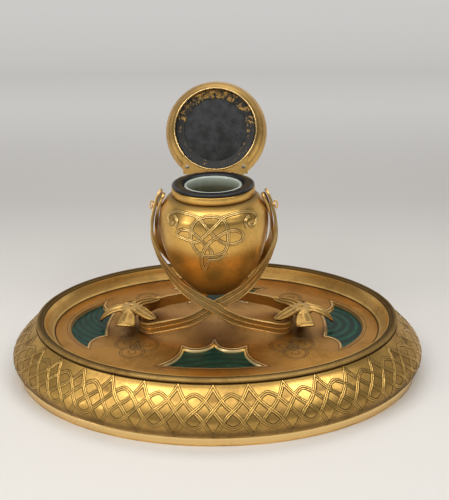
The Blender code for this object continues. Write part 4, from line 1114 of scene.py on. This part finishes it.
def ribbon_loops(pin_side, crossing_side):
    points = []
    for spread, depth, rise in UPPER:
        points.append((-spread * STRAP_SPREAD, -depth * CROSSING_Y, CROSSING_Z + rise * (PIN_Z - CROSSING_Z)))
    for reach, depth, rise in LOWER:
        points.append((reach * TURN_X, -depth * LEG_Y, FOOT_Z + rise * (CROSSING_Z - FOOT_Z)))
    path = even_path(points, RIBBON_STEPS)
    front = Vector((0, -math.cos(CROSSING_LEAN), math.sin(CROSSING_LEAN)))
    loops = []
    for index, place in enumerate(path):
        before = path[max(index - 1, 0)]
        after = path[min(index + 1, len(path) - 1)]
        tangent = (after - before).normalized()
        share = index / (len(path) - 1)
        turn = read_table(TWIST, share) * math.pi / 2
        leaning = Vector((-math.cos(turn), 0, 0)) + front * math.sin(turn)
        standing = tangent.cross(Vector((0, 0, 1))).normalized()
        outward = leaning.lerp(standing, read_table(UPRIGHT, share))
        normal = (outward - tangent * outward.dot(tangent)).normalized()
        across = tangent.cross(normal)
        lap = pin_side * read_table(PIN_LAP, share) + crossing_side * read_table(CROSSING_LAP, share)
        centre = place + normal * (lap * LAP / 2)
        nose = min(1.0, index * 0.0013 / (BAND_WIDTH / 2))
        width = REED_WIDTH / 2 * math.sqrt(max(0.02, 1 - (1 - nose) ** 2))
        loops.append(band_loop(REED_SECTION, centre, across * width, normal))
    return loops


def build_ribbons():
    for side, side_word in ((1, "left"), (-1, "right")):
        for way, way_word in ((1, "front"), (-1, "back")):
            loops = ribbon_loops(way, side)
            placed = [[Vector((side * p.x, way * p.y, p.z)) for p in loop] for loop in loops]
            name = "{}_{}".format(way_word, side_word)
            piece = loft(placed, False, darks_of(REED_SECTION))
            finish_piece(piece, "ribbon_{}_reeded".format(name), MAT_RIBBON, node="ribbon_" + name, angle=35)


# Leaves

# Each petal of a leaf: middle line (out, sideways, up), half widths, droop of the rims, depth of the relief
PETAL_STEPS = 26
TIP_PETAL = (
    [(0.0575, 0.0, 0.0408), (0.0630, 0.0, 0.0430), (0.0690, 0.0, 0.0436), (0.0745, 0.0, 0.0420),
     (0.0793, 0.0, 0.0388), (0.0828, 0.0, 0.0348), (0.0842, 0.0, 0.0324)],
    [(0.0, 0.0036), (0.25, 0.0046), (0.5, 0.0056), (0.68, 0.0057), (0.84, 0.0047), (0.94, 0.0031),
     (1.0, 0.0010)],
    -0.22, 0.75)
SIDE_PETAL = (
    [(0.0604, 0.0010, 0.0420), (0.0610, -0.0040, 0.0432), (0.0618, -0.0082, 0.0426),
     (0.0626, -0.0118, 0.0408),
     (0.0632, -0.0146, 0.0389), (0.0635, -0.0160, 0.0383), (0.0637, -0.0170, 0.0388),
     (0.0638, -0.0175, 0.0398)],
    [(0.0, 0.0040), (0.30, 0.0048), (0.55, 0.0058), (0.75, 0.0066), (0.90, 0.0066), (1.0, 0.0048)],
    -0.32, 0.25)
ARM_PETAL = (
    [(0.0600, 0.0006, 0.0412), (0.0570, -0.0030, 0.0436), (0.0535, -0.0066, 0.0440),
     (0.0494, -0.0104, 0.0432),
     (0.0456, -0.0140, 0.0425), (0.0434, -0.0160, 0.0425), (0.0421, -0.0170, 0.0435)],
    [(0.0, 0.0036), (0.25, 0.0046), (0.5, 0.0047), (0.72, 0.0041), (0.88, 0.0030), (1.0, 0.0014)],
    -0.10, 1.0)
# Across a petal: share of the half width, and height
PETAL_SECTION = mirrored([
    (-0.55, -0.0016), (-1.0, -0.0006), (-1.0, 0.0006), (-0.90, 0.0012), (-0.78, 0.0009), (-0.64, -0.0003),
    (-0.45, -0.0008), (-0.26, -0.0003), (-0.12, 0.0007), (0.0, 0.0010),
])
LEAF_VOXEL = 0.0003


def petal(shape, flip):
    """One petal of a leaf, raised at its rim and down its middle."""
    points, widths, droop, depth = shape
    path = even_path([(x, y * flip, z) for x, y, z in points], PETAL_STEPS)
    loops = []
    for step, place in enumerate(path):
        before = path[max(step - 1, 0)]
        after = path[min(step + 1, len(path) - 1)]
        way = (after - before).normalized()
        across = way.cross(Vector((0, 0, 1)))
        if across.length < 0.4:
            across = way.cross(Vector((0, 0, 1)) + Vector((place.x - 0.0610, place.y, 0)).normalized())
        across.normalize()
        normal = across.cross(way).normalized()
        share = step / PETAL_STEPS
        width = read_table(widths, share)
        relief = depth * min(1.0, 0.25 + (1 - share) * 4, 0.25 + share * 5)
        loops.append([place + across * (u * width)
                      + normal * ((v if v < -0.0009 else v * relief) + droop * u * u * width)
                      for u, v in PETAL_SECTION])
    return loft(loops, False)


def shade_leaf(mesh):
    """Lips and ridges of the leaf keep a painted highlight, flats are browner, and hollows, undersides and
    low parts take painted shade.
    """
    pulls = [Vector() for vert in mesh.vertices]
    counts = [0] * len(pulls)
    for edge in mesh.edges:
        first, second = edge.vertices
        reach = mesh.vertices[second].co - mesh.vertices[first].co
        pulls[first] += reach
        pulls[second] -= reach
        counts[first] += 1
        counts[second] += 1
    layer = mesh.attributes.new("dark", "FLOAT", "POINT")
    for vert, pull, count in zip(mesh.vertices, pulls, counts):
        hollow = pull.dot(vert.normal) / (max(count, 1) * LEAF_VOXEL)
        # Painted shade in hollows, on undersides and low down; convex lips stay bright as a painted highlight
        dark = max(0.42 + 3.2 * hollow, 0.5 - 1.5 * vert.normal.z, 0.3 * (0.0375 - vert.co.z) / 0.005)
        layer.data[vert.index].value = min(1.0, max(0.0, dark))


def build_leaf():
    """A cast leaf of five petals about a low boss, melted into one skin, and its twin."""
    petals = [petal(TIP_PETAL, 1), petal(SIDE_PETAL, 1), petal(SIDE_PETAL, -1), petal(ARM_PETAL, 1),
              petal(ARM_PETAL, -1)]
    body = turned([(0.0002, 0.0395), (0.0060, 0.0395), (0.0082, 0.0406), (0.0088, 0.0418), (0.0080, 0.0430),
                   (0.0060, 0.0440), (0.0036, 0.0445), (0.0016, 0.0446), (0.0012, 0.0436), (0.0002, 0.0434)],
                  40, "fill")
    body.data.transform(Matrix.Translation((0.0606, 0, 0)))
    right = join_pieces(petals + [body])
    reshape(right, "REMESH", mode="VOXEL", voxel_size=LEAF_VOXEL)
    reshape(right, "SMOOTH", factor=0.5, iterations=2)
    shade_leaf(right.data)
    left = twin(right, Matrix.Rotation(math.pi, 4, "Z"))
    finish_piece(right, "leaf_right_acanthus", MAT_LEAF, node="leaf_right", angle=50)
    finish_piece(left, "leaf_left_acanthus", MAT_LEAF, node="leaf_left", angle=50)


# Carried-over nodes

NODE_MATERIALS = [
    (MAT_BRASS, "bed_plate stud_left stud_right nut_left nut_right"),
    (MAT_STEEL, "screw_front_left screw_front_right screw_back_left screw_back_right hinge_pin"),
    (MAT_RIBBON, "eye_pin_left eye_pin_right"),
    (MAT_LID, "collar_hinge_leaf lid_hinge_leaf"),
    (malachite("malachite_front", (0.012, -0.085, 0.02), (1.0, 0.6, 1.0), 30.0, 7.0, 0.75),
     "malachite_front"),
    (malachite("malachite_back", (-0.02, 0.075, 0.02), (1.0, 0.7, 1.0), 30.0, 7.0, 0.75), "malachite_back"),
    (malachite("malachite_left", (-0.078, 0.020, 0.02), (0.7, 1.0, 1.0), 55.0, 3.5, 0.70), "malachite_left"),
    (malachite("malachite_right", (0.080, 0.004, 0.02), (0.8, 1.0, 1.0), 42.0, 1.6, 0.55), "malachite_right"),
]


def dress_nodes():
    for mat, names in NODE_MATERIALS:
        for name in names.split():
            mesh = nodes[name].data
            mesh.materials.clear()
            mesh.materials.append(mat)


# Floor, backdrop, lamps and camera


BACKGROUND = (0.62, 0.605, 0.59, 1.0)
SWEEP_REACH = 7.0
# Share of the way from before the stand to the wall, and colour: painted light, bright by the stand, a darker
# band behind and lighter up the wall
SWEEP_COLOURS = [
    (0.0, (0.93, 0.905, 0.87)), (0.16, (0.84, 0.82, 0.79)), (0.29, (0.66, 0.645, 0.625)),
    (0.70, (0.53, 0.515, 0.50)), (0.88, (0.61, 0.595, 0.58)), (1.0, (0.69, 0.67, 0.655)),
]


def sweep_finish():
    """Pale paper that takes shadows nearby, with a painted fall of light back to the wall, and that glows
    further off as painted light, fading into the background.
    """
    mat, tree, shader = new_tree("pale_sweep")
    place = add(tree, "ShaderNodeSeparateXYZ", {"Vector": object_place(tree)}).outputs
    shade = ramp(tree, span(tree, place["Y"], -0.25, 1.9), SWEEP_COLOURS)
    away = calc(tree, "MAXIMUM", calc(tree, "ABSOLUTE", place["X"]), calc(tree, "MULTIPLY", place["Y"], -1.0))
    edge = span(tree, away, 0.55, 1.35, kind="SMOOTHSTEP")
    distant = calc(tree, "MAXIMUM", span(tree, place["Y"], 0.28, 0.95, kind="SMOOTHSTEP"), edge)
    rays = add(tree, "ShaderNodeLightPath").outputs
    seen = calc(tree, "MAXIMUM", rays["Is Camera Ray"], rays["Is Glossy Ray"])
    glow = add(tree, "ShaderNodeEmission", {"Color": blend(tree, edge, shade, BACKGROUND)})
    fill(tree, shader, {"Base Color": shade, "Roughness": 0.8, "Specular IOR Level": 0.1})
    both = add(tree, "ShaderNodeMixShader", {"Fac": calc(tree, "MULTIPLY", seen, distant),
                                             1: shader.outputs["BSDF"], 2: glow.outputs["Emission"]})
    fill(tree, tree.nodes["Material Output"], {"Surface": both.outputs["Shader"]})
    return mat


def build_stage():
    """A pale sweep: flat floor that curves up behind."""
    rows = [(-SWEEP_REACH, 0.0), (1.3, 0.0)]
    for step in range(1, 13):
        turn = math.pi / 2 * step / 12
        rows.append((1.3 + 0.5 * math.sin(turn), 0.5 - 0.5 * math.cos(turn)))
    rows.append((1.8, 2.6))
    verts = [(side * SWEEP_REACH, y, z - 0.0001) for y, z in rows for side in (-1, 1)]
    mesh = bpy.data.meshes.new("sweep")
    mesh.from_pydata(verts, [], [(2 * i, 2 * i + 1, 2 * i + 3, 2 * i + 2) for i in range(len(rows) - 1)])
    mesh.shade_smooth()
    mesh.materials.append(sweep_finish())
    new_object("sweep", mesh)


# Name, place, aim, size, power and colour
LAMPS = [
    ("front", (-0.20, -0.95, 1.22), (0, 0, 0.03), (1.1, 0.32), 4.2, (1.0, 0.98, 0.94)),
    ("front_left", (-0.88, -0.62, 1.25), (0, 0, 0.03), (0.8, 0.40), 4.7, (1.0, 0.97, 0.92)),
    ("front_right", (0.86, -0.64, 1.25), (0, 0, 0.03), (0.8, 0.40), 5.6, (1.0, 0.98, 0.95)),
    ("low_left", (-1.25, -0.80, 0.55), (0, 0, 0.08), (0.30, 0.5), 2.6, (1.0, 0.97, 0.92)),
    ("high_front", (0.0, -0.50, 1.45), (0, 0.09, 0.03), (0.9, 0.20), 2.8, (1.0, 0.97, 0.92)),
    ("overhead", (0.0, 0.55, 1.6), (0, 0, 0), (1.6, 0.8), 7.5, (1, 1, 1)),
]


def build_lights():
    """Soft lamps above and in front, and a dim room that the camera sees as the pale background."""
    for name, place, aim, size, power, colour in LAMPS:
        data = bpy.data.lights.new(name, "AREA")
        data.shape = "RECTANGLE"
        data.size, data.size_y = size
        data.energy = power
        data.color = colour
        item = new_object(name, data)
        item.location = place
        item.rotation_euler = (Vector(aim) - Vector(place)).to_track_quat("-Z", "Y").to_euler()
    world = bpy.data.worlds.new("studio")
    bpy.context.scene.world = world
    world.use_nodes = True
    tree = world.node_tree
    room = tree.nodes["Background"]
    fill(tree, room, {"Color": (0.95, 0.95, 0.96, 1), "Strength": 0.13})
    pale = add(tree, "ShaderNodeBackground", {"Color": BACKGROUND, "Strength": 1.0})
    seen = add(tree, "ShaderNodeLightPath").outputs["Is Camera Ray"]
    both = add(tree, "ShaderNodeMixShader", {"Fac": seen, 1: room.outputs["Background"],
                                             2: pale.outputs["Background"]})
    fill(tree, tree.nodes["World Output"], {"Surface": both.outputs["Shader"]})


def build_camera():
    data = bpy.data.cameras.new("camera")
    data.sensor_fit = "VERTICAL"
    data.sensor_height = SENSOR
    data.lens = LENS
    data.clip_start = 0.01
    camera = new_object("camera", data)
    back = Vector((math.sin(VIEW_TURN) * math.cos(VIEW_RISE), -math.cos(VIEW_TURN) * math.cos(VIEW_RISE),
                   math.sin(VIEW_RISE)))
    right = Vector((math.cos(VIEW_TURN), math.sin(VIEW_TURN), 0))
    up = back.cross(right)
    turned_right = right * math.cos(VIEW_ROLL) + up * math.sin(VIEW_ROLL)
    turned_up = up * math.cos(VIEW_ROLL) - right * math.sin(VIEW_ROLL)
    place = VIEW_TARGET + back * VIEW_REACH
    columns = Matrix((turned_right, turned_up, back)).transposed().to_4x4()
    camera.matrix_world = Matrix.Translation(place) @ columns
    bpy.context.scene.camera = camera


build_skirt()
build_interlace()
build_rim()
build_plate()
build_window_edges()
build_roundels()
build_pot()
build_knot()
build_collar()
build_ring()
build_cup()
build_lid()
build_ribbons()
build_leaf()
dress_nodes()
build_stage()
build_lights()
build_camera()

bpy.context.scene.view_settings.view_transform = "Standard"
bpy.context.view_layer.update()
